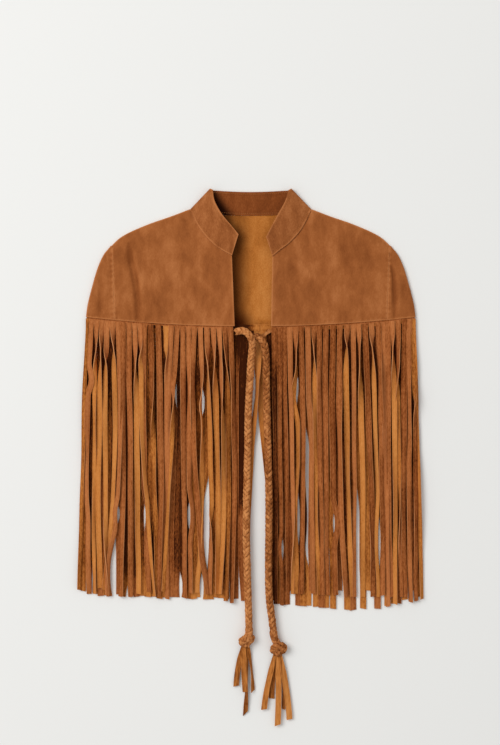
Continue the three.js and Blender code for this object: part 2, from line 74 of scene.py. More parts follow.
deselect()
bpy.ops.mesh.primitive_plane_add(size=8, location=place(0, -200))
table = bpy.context.object
table.name = "table"
bpy.ops.object.transform_apply(location=True, rotation=True, scale=True)
paint = bpy.data.materials.new("pale_paint")
paint.use_nodes = True
paint_shader = paint.node_tree.nodes["Principled BSDF"]
paint_shader.inputs["Base Color"].default_value = (0.845, 0.845, 0.825, 1)
paint_shader.inputs["Roughness"].default_value = 0.9
paint_shader.inputs["Specular IOR Level"].default_value = 0.1
table.data.materials.append(paint)

sky = bpy.data.worlds.new("sky")
sky.use_nodes = True
sky.node_tree.nodes["Background"].inputs["Color"].default_value = (1.0, 0.993, 0.985, 1)
sky.node_tree.nodes["Background"].inputs["Strength"].default_value = 0.58
bpy.context.scene.world = sky

lamp_data = bpy.data.lights.new("window", "AREA")
lamp_data.shape = "DISK"
lamp_data.size = 3.5
lamp_data.energy = 170
lamp = bpy.data.objects.new("window", lamp_data)
lamp.location = place(-3000, 1400, 4300)
lamp.rotation_euler = (place(0, -180) - lamp.location).to_track_quat("-Z", "Y").to_euler()
bpy.context.collection.objects.link(lamp)


# ======== Tie cords, end knots and tassels ========
# Two round cords plaited from eight narrow suede lacings hang from the corners of the opening.
# The left one is thrown over the right one; each is closed with an overhand knot drawn tight,
# and soft suede strips are caught in the knot as a tassel.
LEFT_CORD = [
    (-23.6, -99.6, 12.4), (-18, -98.4, 14.5), (-11, -98.5, 18), (-4, -103.6, 21), (1.6, -112.8, 21),
    (2.6, -123, 16.5), (1.4, -136, 12.4), (0, -152, 11), (-1, -176, 10), (-3.5, -214, 9.6),
    (-4.6, -278, 9.6), (-6.2, -350, 9.6), (-7.2, -416, 9.6), (-5.8, -472, 9.6), (-4, -530, 9.6),
    (-3.2, -556, 8.6), (-2.9, -579.6, 8.2),
]
RIGHT_CORD = [
    (3.4, -108.4, 12.6), (9.6, -107.4, 13.4), (15.6, -111, 14), (20.8, -119, 14), (23.6, -132, 12.6),
    (24.6, -150, 10.6), (24.8, -176, 10), (25.4, -214, 9.6), (27.2, -278, 9.6), (28.8, -350, 9.6), (28.9, -422, 9.6),
    (28.4, -472, 9.6), (29.6, -524, 9.6), (33.6, -557, 8.8), (37.4, -587.2, 8.4),
]
# Each end knot follows the cord's last turns: down behind, out to the side, back over the front, and through.
LEFT_KNOT = [
    (-2.9, -573, 8.6), (-2.9, -582, 8.8), (-6.4, -589.5, 7.6), (-11.6, -597, 7.6), (-13.6, -593.6, 12),
    (-9, -590.4, 14.2), (-2.6, -587, 12.6), (0.6, -589.6, 8.8), (-2.2, -593.6, 7.4), (-6.8, -597, 7.4),
    (-8, -602, 7),
]
RIGHT_KNOT = [
    (35.9, -579, 8.6), (38, -589.5, 8.6), (43.5, -600, 7.2), (49.6, -609, 7.2), (52, -603.6, 11.2),
    (46.6, -600.4, 14.2), (40.2, -603, 13.4), (36.4, -606.8, 8.8), (38.8, -610.6, 7.2), (42.6, -611.2, 8),
    (43, -616, 7),
]


def shares(steps):
    """From 0 to 1 in equal steps."""
    return [i / steps for i in range(steps + 1)]


def mix(a, b, t):
    return a + (b - a) * t


def ease(t):
    """0 before 0, 1 after 1, and a smooth rise between them."""
    t = min(1.0, max(0.0, t))
    return t * t * (3 - 2 * t)


def made(name, verts, faces, materials, uvs=None, sides=None, sharp=None, **marks):
    """A closed piece with its faces turned outwards, smooth but for edges past the angle sharp.
    uvs: one for each corner of each face; sides: each face's material; marks: attributes of its points."""
    mesh = bpy.data.meshes.new(name)
    mesh.from_pydata(verts, [], faces)
    for material in materials:
        mesh.materials.append(material)
    if sides:
        mesh.polygons.foreach_set("material_index", sides)
    if uvs:
        mesh.uv_layers.new(name="strip").data.foreach_set("uv", np.array(uvs, np.float32).ravel())
    for mark, values in marks.items():
        mesh.attributes.new(mark, "FLOAT", "POINT").data.foreach_set("value", np.array(values, np.float32))
    closed = bmesh.new()
    closed.from_mesh(mesh)
    bmesh.ops.recalc_face_normals(closed, faces=closed.faces)
    closed.to_mesh(mesh)
    closed.free()
    piece = bpy.data.objects.new(name, mesh)
    bpy.context.collection.objects.link(piece)
    if sharp is None:
        mesh.shade_smooth()
    else:
        pick(piece)
        bpy.ops.object.shade_smooth_by_angle(angle=math.radians(sharp))
    return piece


def pick(piece):
    deselect()
    piece.select_set(True)
    bpy.context.view_layer.objects.active = piece


def distances(line):
    """How far each point of a line lies along it."""
    return np.concatenate([[0], np.cumsum(np.linalg.norm(np.diff(line, axis=0), axis=1))])


def unit(vectors):
    return vectors / np.linalg.norm(vectors, axis=1)[:, None]


def flow(points, steps):
    """A smooth line of steps + 1 evenly spaced points through the given ones."""
    points = [np.array(p, float) for p in points]
    fine = []
    for i in range(len(points) - 1):
        p1, p2 = points[i], points[i + 1]
        p0 = points[i - 1] if i else 2 * p1 - p2
        p3 = points[i + 2] if i + 2 < len(points) else 2 * p2 - p1
        a, b, c = (max(np.linalg.norm(q - p), 1e-6) ** 0.5 for p, q in ((p0, p1), (p1, p2), (p2, p3)))
        start = ((p1 - p0) / a - (p2 - p0) / (a + b) + (p2 - p1) / b) * b
        finish = ((p2 - p1) / b - (p3 - p1) / (b + c) + (p3 - p2) / c) * b
        for w in shares(24)[:-1]:
            fine.append(
                (2 * w**3 - 3 * w**2 + 1) * p1 + (w**3 - 2 * w**2 + w) * start
                + (3 * w**2 - 2 * w**3) * p2 + (w**3 - w**2) * finish
            )
    fine = np.array(fine + [points[-1]])
    along = distances(fine)
    at = np.linspace(0, along[-1], steps + 1)
    return np.stack([np.interp(at, along, fine[:, k]) for k in range(fine.shape[1])], axis=1), at


PLAIT_STEP = 1.15  # between two rings of a lacing
PATH_POINTS = 70


def plait(name, points, middle, lift, lacing, lead, seed, shade):
    """Eight lacings plaited round the line: four wind each way, over two and under two.
    middle: radius of their centre lines, lift: how far they rise and dive, lacing: (width, thickness),
    lead: the length of one turn, shade: how much paler the suede is. Gives the piece, its path and length."""
    length = flow(points, 60)[1][-1]
    steps = int(length / PLAIT_STEP)
    line, at = flow(points, steps)
    along = unit(np.gradient(line, axis=0))
    up = np.zeros_like(line)
    first = np.array([0, 0, 1.0])
    for i, t in enumerate(along):
        first = first - t * first.dot(t)
        first /= np.linalg.norm(first)
        up[i] = first
    side = np.cross(along, up)
    verts, faces, uvs, tones = [], [], [], []
    section = [(math.cos(a), math.sin(a)) for a in np.linspace(0, 2 * math.pi, 9)[:-1]]
    rim = len(section)
    wander = 0.3 * np.sin(at / 46 + seed) + 0.15 * np.sin(at / 17 + 2 * seed)
    for way in (1, -1):
        for k in range(4):
            dice = random.Random(seed * 100 + way * 10 + k)
            lane = k if way > 0 else k + 0.5
            turn = way * 2 * math.pi * (at + 1.6 * np.sin(at / 31 + seed)) / lead + math.pi / 2 * lane
            over = np.tanh(2.0 * np.sin(2 * turn)) / np.tanh(2.0)
            slack = 0.24 * np.sin(at / dice.uniform(4, 8) + dice.uniform(0, 6))
            uneven = 0.18 * np.sin(at / dice.uniform(2.2, 3.6) + dice.uniform(0, 6)) * np.sin(at / dice.uniform(5, 9))
            reach = middle + way * lift * over + slack
            angle = turn + wander + 0.13 * np.sin(at / dice.uniform(5, 9) + dice.uniform(0, 6))
            centre = line + side * (reach * np.cos(angle))[:, None] + up * (reach * np.sin(angle))[:, None]
            out = side * np.cos(angle)[:, None] + up * np.sin(angle)[:, None]
            run = unit(np.gradient(centre, axis=0))
            out = unit(out - run * (out * run).sum(axis=1)[:, None])
            across = np.cross(run, out)
            start = len(verts)
            for i in range(steps + 1):
                for cx, cy in section:
                    # a lacing is flat below and softly crowned above
                    deep = cy * (0.5 if cy > 0 else 0.34)
                    p = centre[i] + across[i] * (cx * lacing[0] / 2) + out[i] * (deep * lacing[1])
                    verts.append(place(*p))
                    # painted light: the top of each lacing is painted paler and its sides dimmer, and a lacing is paler
                    # where it rises over the others and dimmer where it dives under them
                    crown_light_and_shade = 0.03 if cy > 0.6 else -0.08 if abs(cy) < 0.1 else 0.0
                    tones.append(crown_light_and_shade + 0.05 * way * over[i] + uneven[i] + shade)
            for i in range(steps):
                for c in range(rim):
                    a, b = start + i * rim + c, start + i * rim + (c + 1) % rim
                    faces.append((a, b, b + rim, a + rim))
                    uvs += [(c / rim, at[i] / 1000), ((c + 1) / rim, at[i] / 1000),
                            ((c + 1) / rim, at[i + 1] / 1000), (c / rim, at[i + 1] / 1000)]
            for ring in (start, start + steps * rim):
                faces.append(tuple(range(ring, ring + rim)))
                uvs += [(0.5, 0)] * rim
    path = [place(*p) for p in line[:: max(1, steps // PATH_POINTS)]] + [place(*line[-1])]
    return made(name, verts, faces, [braid_suede], uvs, tone=tones), path, length


def tint(red, green, blue):
    """A colour as a screen shows it, 0 to 255, as the linear colour that a shader takes."""
    light = [c / 255 for c in (red, green, blue)]
    return [c / 12.92 if c < 0.04045 else ((c + 0.055) / 1.055) ** 2.4 for c in light] + [1]


def suede(name, deep, middle, pale, patch=17, mottle=70, nap=620, bump=0.25, sheen=0.12, lengthways=0.45,
          clouds=(0.5, 0.7, 0.7), painted_shade=None, between=None):
    """Suede: soft patches where the nap lies another way, a fine short fibre over them,
    paler where an edge or ridge is worn (wear above 0), and darkened with painted shade in a crease (wear below 0).
    patch, mottle and nap: how fine these are, clouds: how much each counts; between: a tint of its own
    between deep and middle; kept: the colour of painted shade, which a point's painted-shade mark above 0
    mixes in; a mark below 0 makes the suede paler."""
    suede_cloth = bpy.data.materials.new(name)
    suede_cloth.use_nodes = True
    tree = suede_cloth.node_tree
    shader = tree.nodes["Principled BSDF"]
    for socket, value in (("Roughness", 0.95), ("Specular IOR Level", 0.04), ("Sheen Weight", sheen),
                          ("Sheen Roughness", 0.5), ("Sheen Tint", pale)):
        shader.inputs[socket].default_value = value

    def node(kind, **values):
        one = tree.nodes.new(kind)
        for key, value in values.items():
            if key in one.inputs:
                one.inputs[key].default_value = value
            else:
                setattr(one, key, value)
        return one

    def add(a, b, times=1.0):
        """a + b * times; a is a socket, and b and times are sockets or numbers."""
        one = node("ShaderNodeMath", operation="MULTIPLY_ADD")
        for socket, value in zip(one.inputs, (b, times, a)):
            if isinstance(value, (int, float)):
                socket.default_value = value
            else:
                tree.links.new(value, socket)
        return one.outputs[0]

    def mark(attribute):
        return node("ShaderNodeAttribute", attribute_name=attribute).outputs["Fac"]

    combed = node("ShaderNodeMapping", Scale=(1, lengthways, 1))
    tree.links.new(node("ShaderNodeTexCoord").outputs["Object"], combed.inputs["Vector"])

    def cloud(scale, detail, rough, distort=0.0):
        one = node("ShaderNodeTexNoise", Scale=scale, Detail=detail, Roughness=rough, Distortion=distort)
        tree.links.new(combed.outputs["Vector"], one.inputs["Vector"])
        return one.outputs["Fac"]

    patches, mottles, fibres = cloud(patch, 2, 0.5, 0.3), cloud(mottle, 3, 0.55, 0.2), cloud(nap, 3, 0.7)
    value = add(add(mark("tone"), 0.5 - sum(clouds) / 2), mark("wear"), 0.5)
    for layer, weight in zip((patches, mottles, fibres), clouds):
        value = add(value, layer, weight)
    # painted shade: a point's painted-shade mark above 0 mixes the colour towards the shade colour; below 0 it raises
    # the value, so the suede is paler
    if painted_shade:
        hidden = mark("painted_shade")
        paler = node("ShaderNodeMath", operation="MINIMUM")
        tree.links.new(hidden, paler.inputs[0])
        paler.inputs[1].default_value = 0.0
        value = add(value, paler.outputs[0], -1.0)
    ramp = node("ShaderNodeValToRGB")
    ramp.color_ramp.elements[0].position = 0.2
    ramp.color_ramp.elements[0].color = deep
    ramp.color_ramp.elements[1].position = 0.8
    ramp.color_ramp.elements[1].color = pale
    ramp.color_ramp.elements.new(0.5).color = middle
    if between:
        ramp.color_ramp.elements.new(0.35).color = between
    tree.links.new(value, ramp.inputs["Fac"])
    colour = ramp.outputs["Color"]
    if painted_shade:
        depth = node("ShaderNodeMix", data_type="RGBA")
        tree.links.new(hidden, depth.inputs[0])
        tree.links.new(colour, depth.inputs[6])
        depth.inputs[7].default_value = painted_shade
        colour = depth.outputs[2]
    tree.links.new(colour, shader.inputs["Base Color"])
    relief = node("ShaderNodeBump", Strength=bump, Distance=0.0006)
    tree.links.new(add(fibres, mottles, 0.8), relief.inputs["Height"])
    tree.links.new(relief.outputs["Normal"], shader.inputs["Normal"])
    return suede_cloth


braid_suede = suede("braid_suede", tint(112, 60, 26), tint(163, 98, 51), tint(206, 138, 82),
                    patch=60, mottle=420, nap=1500, bump=0.3, clouds=(0.4, 1.0, 0.6))
CORD_LACING = dict(middle=4.3, lift=0.7, lacing=(5.3, 2.2), lead=28)
cords = {
    "left": plait("plaited_cord_left", LEFT_CORD, seed=3, shade=0.1, **CORD_LACING),
    "right": plait("plaited_cord_right", RIGHT_CORD, seed=8, shade=-0.05, **CORD_LACING),
}
# the knots are drawn so tight that their lacings spread a little
knots = {
    "left": plait("end_knot_left", LEFT_KNOT, middle=4.8, lift=0.6, lacing=(5.6, 2.3), lead=25, seed=5, shade=0.08)[0],
    "right": plait("end_knot_right", RIGHT_KNOT, middle=4.7, lift=0.7, lacing=(5.4, 2.2), lead=24, seed=6,
                   shade=-0.02)[0],
}


class Strips:
    """Long leather strips, each a closed ribbon with its outer side, flesh side and cut edges,
    gathered into one piece."""

    SECTION = [(a, 0.5) for a in (-1, -0.8, 0, 0.8, 1)] + [(a, -0.5) for a in (1, 0.8, 0, -0.8, -1)]
    OUTER, FLESH, EDGE = 0, 1, 2
    SIDES = [OUTER] * 4 + [EDGE] + [FLESH] * 4 + [EDGE]  # what follows each point of the section

    def __init__(self):
        self.verts, self.faces, self.sides, self.uvs, self.tones, self.wears = [], [], [], [], [], []
        self.count = 0

    def lay(self, line, widths, rolls, thickness, cup=0.0, slant=0.0, tone=0.0, under=None):
        """line: points in mm, widths and rolls (in radians) at each. slant: how much further the cut end's
        right corner reaches. cup: how far the strip's middle sinks, as a share of its width.
        tone: how light it is, at each point or all over: the suede's own variation with painted shade and light added;
        under: the same for the side that faces down."""
        line = np.array(line, float)
        run = unit(np.gradient(line, axis=0))
        flat = unit(np.cross(run, [0, 0, 1.0]))
        out = np.cross(flat, run)
        cos, sin = np.cos(rolls)[:, None], np.sin(rolls)[:, None]
        across = -flat * cos + out * sin
        deep = flat * sin + out * cos
        along = distances(line) / 1000
        start = len(self.verts)
        last = len(line) - 1
        self.count += 1
        offset = 0.37 * self.count
        for i in range(last + 1):
            w = widths[i] / 2
            lean = slant * (max(0.0, i - last + 2) / 2)
            for a, d in self.SECTION:
                sink = -cup * widths[i] * (1 - a * a)
                p = line[i] + across[i] * (a * w) + deep[i] * (d * thickness + sink) + run[i] * (lean * a)
                self.verts.append(place(*p))
                shown = tone if under is None or d * cos[i, 0] > 0 else under
                # painted shade: each strip is a little dimmer towards both edges, where it curls away from the light,
                # and paler in its middle
                self.tones.append((shown[i] if isinstance(shown, list) else shown) + 0.04 - 0.09 * (abs(a) > 0.5))
                self.wears.append(0.35 if abs(a) == 1 else 0.0)
        for i in range(last):
            a, b = start + 10 * i, start + 10 * (i + 1)
            for k, side in enumerate(self.SIDES):
                m = (k + 1) % 10
                self.faces.append((a + k, a + m, b + m, b + k))
                self.sides.append(side)
                u, v = self.SECTION[k][0], self.SECTION[m][0]
                self.uvs += [(u, along[i] + offset), (v, along[i] + offset),
                             (v, along[i + 1] + offset), (u, along[i + 1] + offset)]
        for ring in (start, start + 10 * last):
            self.faces += [(ring + k, ring + k + 1, ring + 8 - k, ring + 9 - k) for k in range(4)]
            self.sides += [self.EDGE] * 4
            self.uvs += [(0, offset)] * 16

    def gather(self, name, materials):
        return made(name, self.verts, self.faces, materials, self.uvs, self.sides, 50,
                    tone=self.tones, wear=self.wears)


STRIP_ROOT = 4.4  # width of a tassel's strip where the knot holds it
TASSEL_SUEDE = 1.2
TASSEL_STEPS = 24
KNOT_HEIGHT = 6.2
KNOT_FLOOR = 4.4
KNOT_SPREAD = 8
# Each strip: end point, width, resting height, roll half way and at its end, slant of the cut, tone.
LEFT_TASSEL = ((-8.5, -601), [
    ((-23.4, -667), 8.8, 3.2, 0.25, 0.1, -1.2, -0.1),
    ((-8.5, -711), 7.6, 2.6, 1.15, 0.35, -4.5, -0.22),
    ((-8.6, -676), 8.8, 6.6, 0.3, 0.15, 0.2, 0.03),
    ((3.4, -675), 6.4, 4.2, -0.9, -0.6, -2.4, -0.14),
])
RIGHT_TASSEL = ((43, -613), [
    ((33.4, -687), 8.6, 1.8, 0.2, 0.0, 0.2, -0.22),
    ((21.3, -704), 9.2, 5.6, 0.5, 0.1, -1.4, 0.0),
    ((52.6, -704), 6.4, 2.8, 1.1, 0.8, 0.2, -0.18),
    ((62, -720), 9.4, 5.0, -0.3, -0.1, -0.7, 0.14),
    ((43, -729), 9.4, 6.8, 0.3, 0.05, -2.0, 0.1),
])
tassel_suede = suede("tassel_suede", tint(110, 56, 20), tint(176, 108, 50), tint(206, 136, 72),
                     patch=40, mottle=420, nap=900, bump=0.2, sheen=0.15, lengthways=0.12)


def tassel(name, head, strips):
    """Strips of suede that fan out from the knot at the head, each settling on the table or on another."""
    sheaf = Strips()
    count = len(strips)
    order = sorted(range(count), key=lambda k: strips[k][0][0])
    for k, (end, width, rest, mid_roll, end_roll, slant, tone) in enumerate(strips):
        spread = (order.index(k) / (count - 1) - 0.5) * KNOT_SPREAD
        fall = (rest - KNOT_FLOOR) * 0.6
        line, widths, rolls = [], [], []
        for t in shares(TASSEL_STEPS):
            bow = math.sin(math.pi * t) * 1.6 * math.copysign(1, spread)
            line.append((mix(head[0] + spread, end[0], 0.75 * t + 0.25 * ease(t)) + bow,
                         mix(head[1], end[1], t),
                         KNOT_HEIGHT + fall * min(1, 3 * t) + (rest - KNOT_HEIGHT - fall) * ease(t)))
            widths.append(mix(STRIP_ROOT, width, min(1, 3.2 * t)))
            rolls.append(mid_roll * math.sin(math.pi * min(1, t * 1.1)) + end_roll * ease(t))
        for i, (w, r) in enumerate(zip(widths, rolls)):
            x, y, z = line[i]
            line[i] = (x, y, max(z, 0.8 + w / 2 * abs(math.sin(r))))
        # painted shade: whichever side of a strip faces down is painted a little dimmer
        sheaf.lay(line, widths, rolls, TASSEL_SUEDE, cup=0.02, slant=slant, tone=tone, under=tone - 0.1)
    return sheaf.gather(name, [tassel_suede] * 3)


tassels = {
    "left": tassel("suede_tassel_left", *LEFT_TASSEL),
    "right": tassel("suede_tassel_right", *RIGHT_TASSEL),
}
for side, (cord, path, length) in cords.items():
    knot, tuft = knots[side], tassels[side]
    for piece, part in ((cord, "cord"), (knot, "knot"), (tuft, "tassel")):
        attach(piece, "root")
        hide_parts(f"tie_{part}_{side}")


# ======== Back yoke ========
# The back of the cape is one flat panel of suede, nap outwards, lying on the table.
# The caps are sewn to its sides, the fronts to its shoulders and the collar to its neck.
# Its flesh side shows in the opening and inside the neck.
HEM_HALF_WIDTH = 264
HEM_SIDE_RISE = 15
SEAM_GAP = 0.2
SUEDE = 1.4
CAP_SEAM_HEM_X = 218
SHOULDER_POINT = (222, 39)
NECK_POINT = (97.5, 96.5)
SHOULDER_LINE = [NECK_POINT, (130, 84.3), (160, 74), (190, 61.5), (209, 51), SHOULDER_POINT]
BACK_NECK = [NECK_POINT, (75, 91.3), (48, 87.6), (0, 86.3)]


def bell(far, width):
    """1 at no distance, falling away smoothly to nothing at about twice the width."""
    return math.exp(-((far / width) ** 2))


def hem_y(x):
    return -91 + HEM_SIDE_RISE * (x / HEM_HALF_WIDTH) ** 2


def curve(points, t):
    """A point of the smooth line through the points of a pattern's outline, from 0 to 1."""
    last = len(points) - 1
    at = min(max(t, 0.0), 1.0) * last
    i = min(int(at), last - 1)
    w = at - i
    p0, p1, p2, p3 = (points[max(0, min(last, k))] for k in (i - 1, i, i + 1, i + 2))
    found = []
    for a, b, c, d in zip(p0, p1, p2, p3):
        v0, v1 = (c - a) / 2, (d - b) / 2
        found.append((2 * b - 2 * c + v0 + v1) * w**3 + (-3 * b + 3 * c - 2 * v0 - v1) * w**2 + v0 * w + b)
    return found


def ridge(points, half_width, height):
    """A crease pressed or pulled in the suede along a line: height above 0 is a ridge, below 0 a trough."""
    return ([np.array(p, float) for p in points], half_width, height)


def creased(creases, x, y):
    """How far the creases lift the suede at a point of the drawing."""
    total = 0.0
    here = np.array((x, y), float)
    for points, half_width, height in creases:
        best, share, pieces = 1e9, 0.0, len(points) - 1
        for i in range(pieces):
            a, run = points[i], points[i + 1] - points[i]
            t = min(1.0, max(0.0, float((here - a).dot(run) / run.dot(run))))
            gap = here - a - run * t
            far = math.hypot(gap[0], gap[1])
            if far < best:
                best, share = far, (i + t) / pieces
        if best < 4 * half_width:
            fade = 0.25 + 0.75 * math.sin(math.pi * min(1, max(0, 0.06 + 0.88 * share)))  # towards its ends
            total += height * bell(best, half_width) * fade
    return total


def cloth(name, node, columns, thickness, materials, rub_and_shade=None, painted_shade=None, rounding=0.35):
    """A thin shell of suede on a grid of points of its middle surface, in mm, with its cut edges softened.
    rub: how worn each point is, from -1 in a crease, darkened there as painted shade, to 1 on a rubbed ridge; cut edges
    are rubbed too.
    kept: how much painted shade each point gets, in the material's shade colour; below 0 it is paler."""
    across, up = len(columns), len(columns[0])
    points = [place(*p) for column in columns for p in column]
    faces = [
        (i * up + j, (i + 1) * up + j, (i + 1) * up + j + 1, i * up + j + 1)
        for i in range(across - 1)
        for j in range(up - 1)
    ]
    mesh = bpy.data.meshes.new(name)
    mesh.from_pydata(points, [], faces)
    flat = np.array(columns, float).reshape(-1, 3)
    border = [k for k in range(len(flat)) if k // up in (0, across - 1) or k % up in (0, up - 1)]
    wear = np.array(rub_and_shade, float).ravel() if rub_and_shade is not None else np.zeros(len(flat))
    for k in range(len(flat)):
        wear[k] += 0.8 * bell(np.sqrt(((flat[border] - flat[k]) ** 2).sum(axis=1).min()), 1.5)
    mesh.attributes.new("wear", "FLOAT", "POINT").data.foreach_set("value", wear.astype(np.float32))
    if painted_shade is not None:
        mesh.attributes.new("painted_shade", "FLOAT", "POINT").data.foreach_set("value", np.array(painted_shade, np.float32).ravel())
    for material in materials:
        mesh.materials.append(material)
    piece = bpy.data.objects.new(name, mesh)
    bpy.context.collection.objects.link(piece)
    pick(piece)
    wall = piece.modifiers.new("wall", "SOLIDIFY")
    wall.thickness = thickness / 1000
    wall.offset = 0
    wall.material_offset = 1
    wall.material_offset_rim = 2
    bpy.ops.object.modifier_apply(modifier="wall")
    soften = piece.modifiers.new("soften", "BEVEL")
    soften.width = rounding / 1000
    soften.segments = 2
    soften.limit_method = "ANGLE"
    soften.angle_limit = math.radians(55)
    bpy.ops.object.modifier_apply(modifier="soften")
    bpy.ops.object.shade_smooth_by_angle(angle=math.radians(60))
    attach(piece, "root")
    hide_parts(node)
    return piece


outer_suede = suede("outer_suede", tint(128, 70, 33), tint(156, 91, 47), tint(182, 114, 66), clouds=(0.6, 0.7, 0.4))
# its kept colour, tint(66, 26, 4), is the colour of the shadow painted beside the left front
flesh_suede = suede("flesh_suede", tint(126, 68, 22), tint(179, 108, 46), tint(204, 134, 68),
                    patch=22, mottle=110, nap=900, bump=0.35, sheen=0.15, clouds=(0.4, 0.35, 0.6), painted_shade=tint(66, 26, 4))
edge_suede = suede("edge_suede", tint(160, 98, 54), tint(182, 118, 70), tint(206, 144, 94), nap=1600)


def painted_shade_at(x, y):
    """Painted shade on the flesh side: the shadow of the left front's lifted edge beside it, strongest towards the hem
    and near the neck on the left; besides, darkened along the hem and paler at the lower right of the opening.
    """
    strength = float(np.interp(y, (-84, -60, 55, 76), (1.0, 0.8, 0.8, 0.4)))
    neck_corner = 0.35 * ease((-24 - x) / 12) * ease((y - 60) / 16)
    from_front = x + 22.4 - 7 * ease((-60 - y) / 24)
    beside_front = (strength + neck_corner) * (1 - ease(from_front / 29))
    above_hem = (0.36 + 0.1 * math.sin(x * 0.8)) * ease((-74 - y) / 16)
    paler_lower_right = 0.16 * ease((x - 2) / 16) * ease((44 - y) / 16)
    return max(beside_front, above_hem) - paler_lower_right


BACK_ACROSS, BACK_UP = 160, 64  # faces of its grid
ON_TABLE = SUEDE / 2 + 0.02  # the suede's middle where it lies on the table
back_columns, back_rub, back_painted_shade = [], [], []
shoulder = [curve(SHOULDER_LINE, t) for t in shares(60)]
neck = [curve(BACK_NECK, t) for t in shares(60)]
top_x, top_y = zip(*list(reversed(neck)) + shoulder[1:])
BACK_CREASES = [
    ridge([(-24, -88), (-8, -84), (10, -86), (30, -84)], 2.2, 0.5),
    ridge([(-22, -78), (0, -80), (22, -76)], 2.4, 0.35),
    ridge([(-6, -91), (-2, -70), (2, -48)], 3, 0.35),
    ridge([(14, -91), (13, -74), (17, -58)], 2.4, 0.4),
    ridge([(-12, -40), (2, 0), (12, 40)], 8, 0.5),
]
for share in shares(BACK_ACROSS):
    u = 2 * share - 1
    foot = u * (CAP_SEAM_HEM_X - SEAM_GAP / 2)
    head = u * (SHOULDER_POINT[0] - SEAM_GAP / 2)
    column = []
    for v in shares(BACK_UP):
        x = mix(foot, head, v)
        y = mix(hem_y(foot), float(np.interp(abs(head), top_x, top_y)), v)
        lifted = max(0.0, creased(BACK_CREASES, x, y)) if abs(x) < 50 else 0.0
        column.append((x, y, ON_TABLE + lifted))
    back_columns.append(column)
    back_rub.append([-0.9 if v == 1 and abs(head) < 70 else 0 for v in shares(BACK_UP)])
    back_painted_shade.append([painted_shade_at(x, y) for x, y, _ in column])
back_panel = cloth("back_panel", "back_yoke", back_columns, SUEDE, [flesh_suede, outer_suede, edge_suede],
                   back_rub, back_painted_shade)


# ======== Front yokes ========
# Each front is one panel of suede with the nap outwards. It is sewn to the cap along its outer side,
# to the collar at the neck and to the back at the shoulder; its front edge is cut and left raw.
SIDE_MID = 6  # heights of the suede's middle: the yoke, where it meets the collar and the shoulder seam
NECK_MID = 4.4
SHOULDER_MID = 2.6
NECK_ROLL = 40  # how far down it bends to the seam
SHOULDER_ROLL = 16
LIFT_REACH = 80  # how far from the opening it lies lifted
NECK_SHARE = 7 / 18
NECK_RUN = 110  # from the hem up to the neck seam
FRONT_ACROSS, FRONT_UP = 126, 80
FRONTS = {
    "left": dict(sign=-1, edge_neck=30, edge_hem=25.6, neck_y=22, lift=7.8, collar=(19.5, 55.5)),
    "right": dict(sign=1, edge_neck=34.5, edge_hem=32.6, neck_y=21, lift=4.4, collar=(24.5, 51.5)),
}
# Broad folds from the hem: where, how far they lean, half width, depth, and how far up they reach.
FRONT_FOLDS = {
    "left": [(190, 6, 11, -0.6, 0.85), (158, -4, 16, 0.9, 0.7), (92, 8, 14, 0.8, 0.9)],
    "right": [(205, 5, 9, -0.55, 0.8), (150, -5, 18, 0.9, 0.75), (84, 6, 15, 0.7, 0.9)],
}
FRONT_CREASES = {
    "left": [
        ridge([(-195, 40), (-190.5, 6), (-184.4, -21.6), (-181.4, -48.8), (-180.2, -86)], 4.6, -2.9),
        ridge([(-187, 26), (-180.6, 0), (-174.6, -24), (-173, -60)], 4.4, 0.6),
        ridge([(-89.6, 61.6), (-86, 44), (-88, 23.2)], 4, -0.5),
        ridge([(-100.8, 0.8), (-78, -18), (-56, -40.8)], 5, 0.5),
        ridge([(-112, 82), (-103, 74), (-97, 66)], 4, -0.7),
        ridge([(-150, 60), (-140, 30), (-138, 0)], 9, -0.4),
        ridge([(-56, 12), (-48, -30), (-44, -70)], 7, -0.35),
        ridge([(-128, -20), (-120, -50), (-122, -80)], 8, -0.4),
    ],
    "right": [
        ridge([(88, 62), (92, 40), (84, 18)], 5, -0.45),
        ridge([(60, 20), (90, -6), (118, -22)], 7, 0.45),
        ridge([(140, 56), (150, 20), (146, -20)], 9, -0.45),
        ridge([(186, 40), (192, 0), (188, -40)], 6, -0.5),
        ridge([(112, 70), (122, 58), (128, 44)], 5, -0.5),
        ridge([(52, -20), (58, -50), (54, -84)], 7, -0.4),
        ridge([(170, -30), (174, -60), (170, -84)], 5, 0.4),
    ],
}


def neck_seam(front):
    return [(front["edge_neck"], front["neck_y"]), (46, 30.5), (61, 42), (78, 60.5), (89, 79), NECK_POINT]


def front_height(front, x):
    from_edge = abs(x) - front["edge_hem"]
    return SIDE_MID + front["lift"] * min(1.0, max(0.0, 1 - from_edge / LIFT_REACH)) ** 2


def neck_height(front, w):
    return mix(SIDE_MID + front["lift"], NECK_MID, ease(w))


def fold_height(side, x, up):
    total = 0.0
    for at, lean, half_width, depth, reach in FRONT_FOLDS[side]:
        total += depth * bell(abs(x) - at - lean * up, half_width) * (1 - ease(up / reach))
    return total


def seam_pucker(y, phase=0.0):
    """The uneven small waves that a line of stitches pulls in the suede beside it, -1 to 1."""
    return math.sin(y / 1.55 + 1.4 * math.sin(y / 11) + phase)


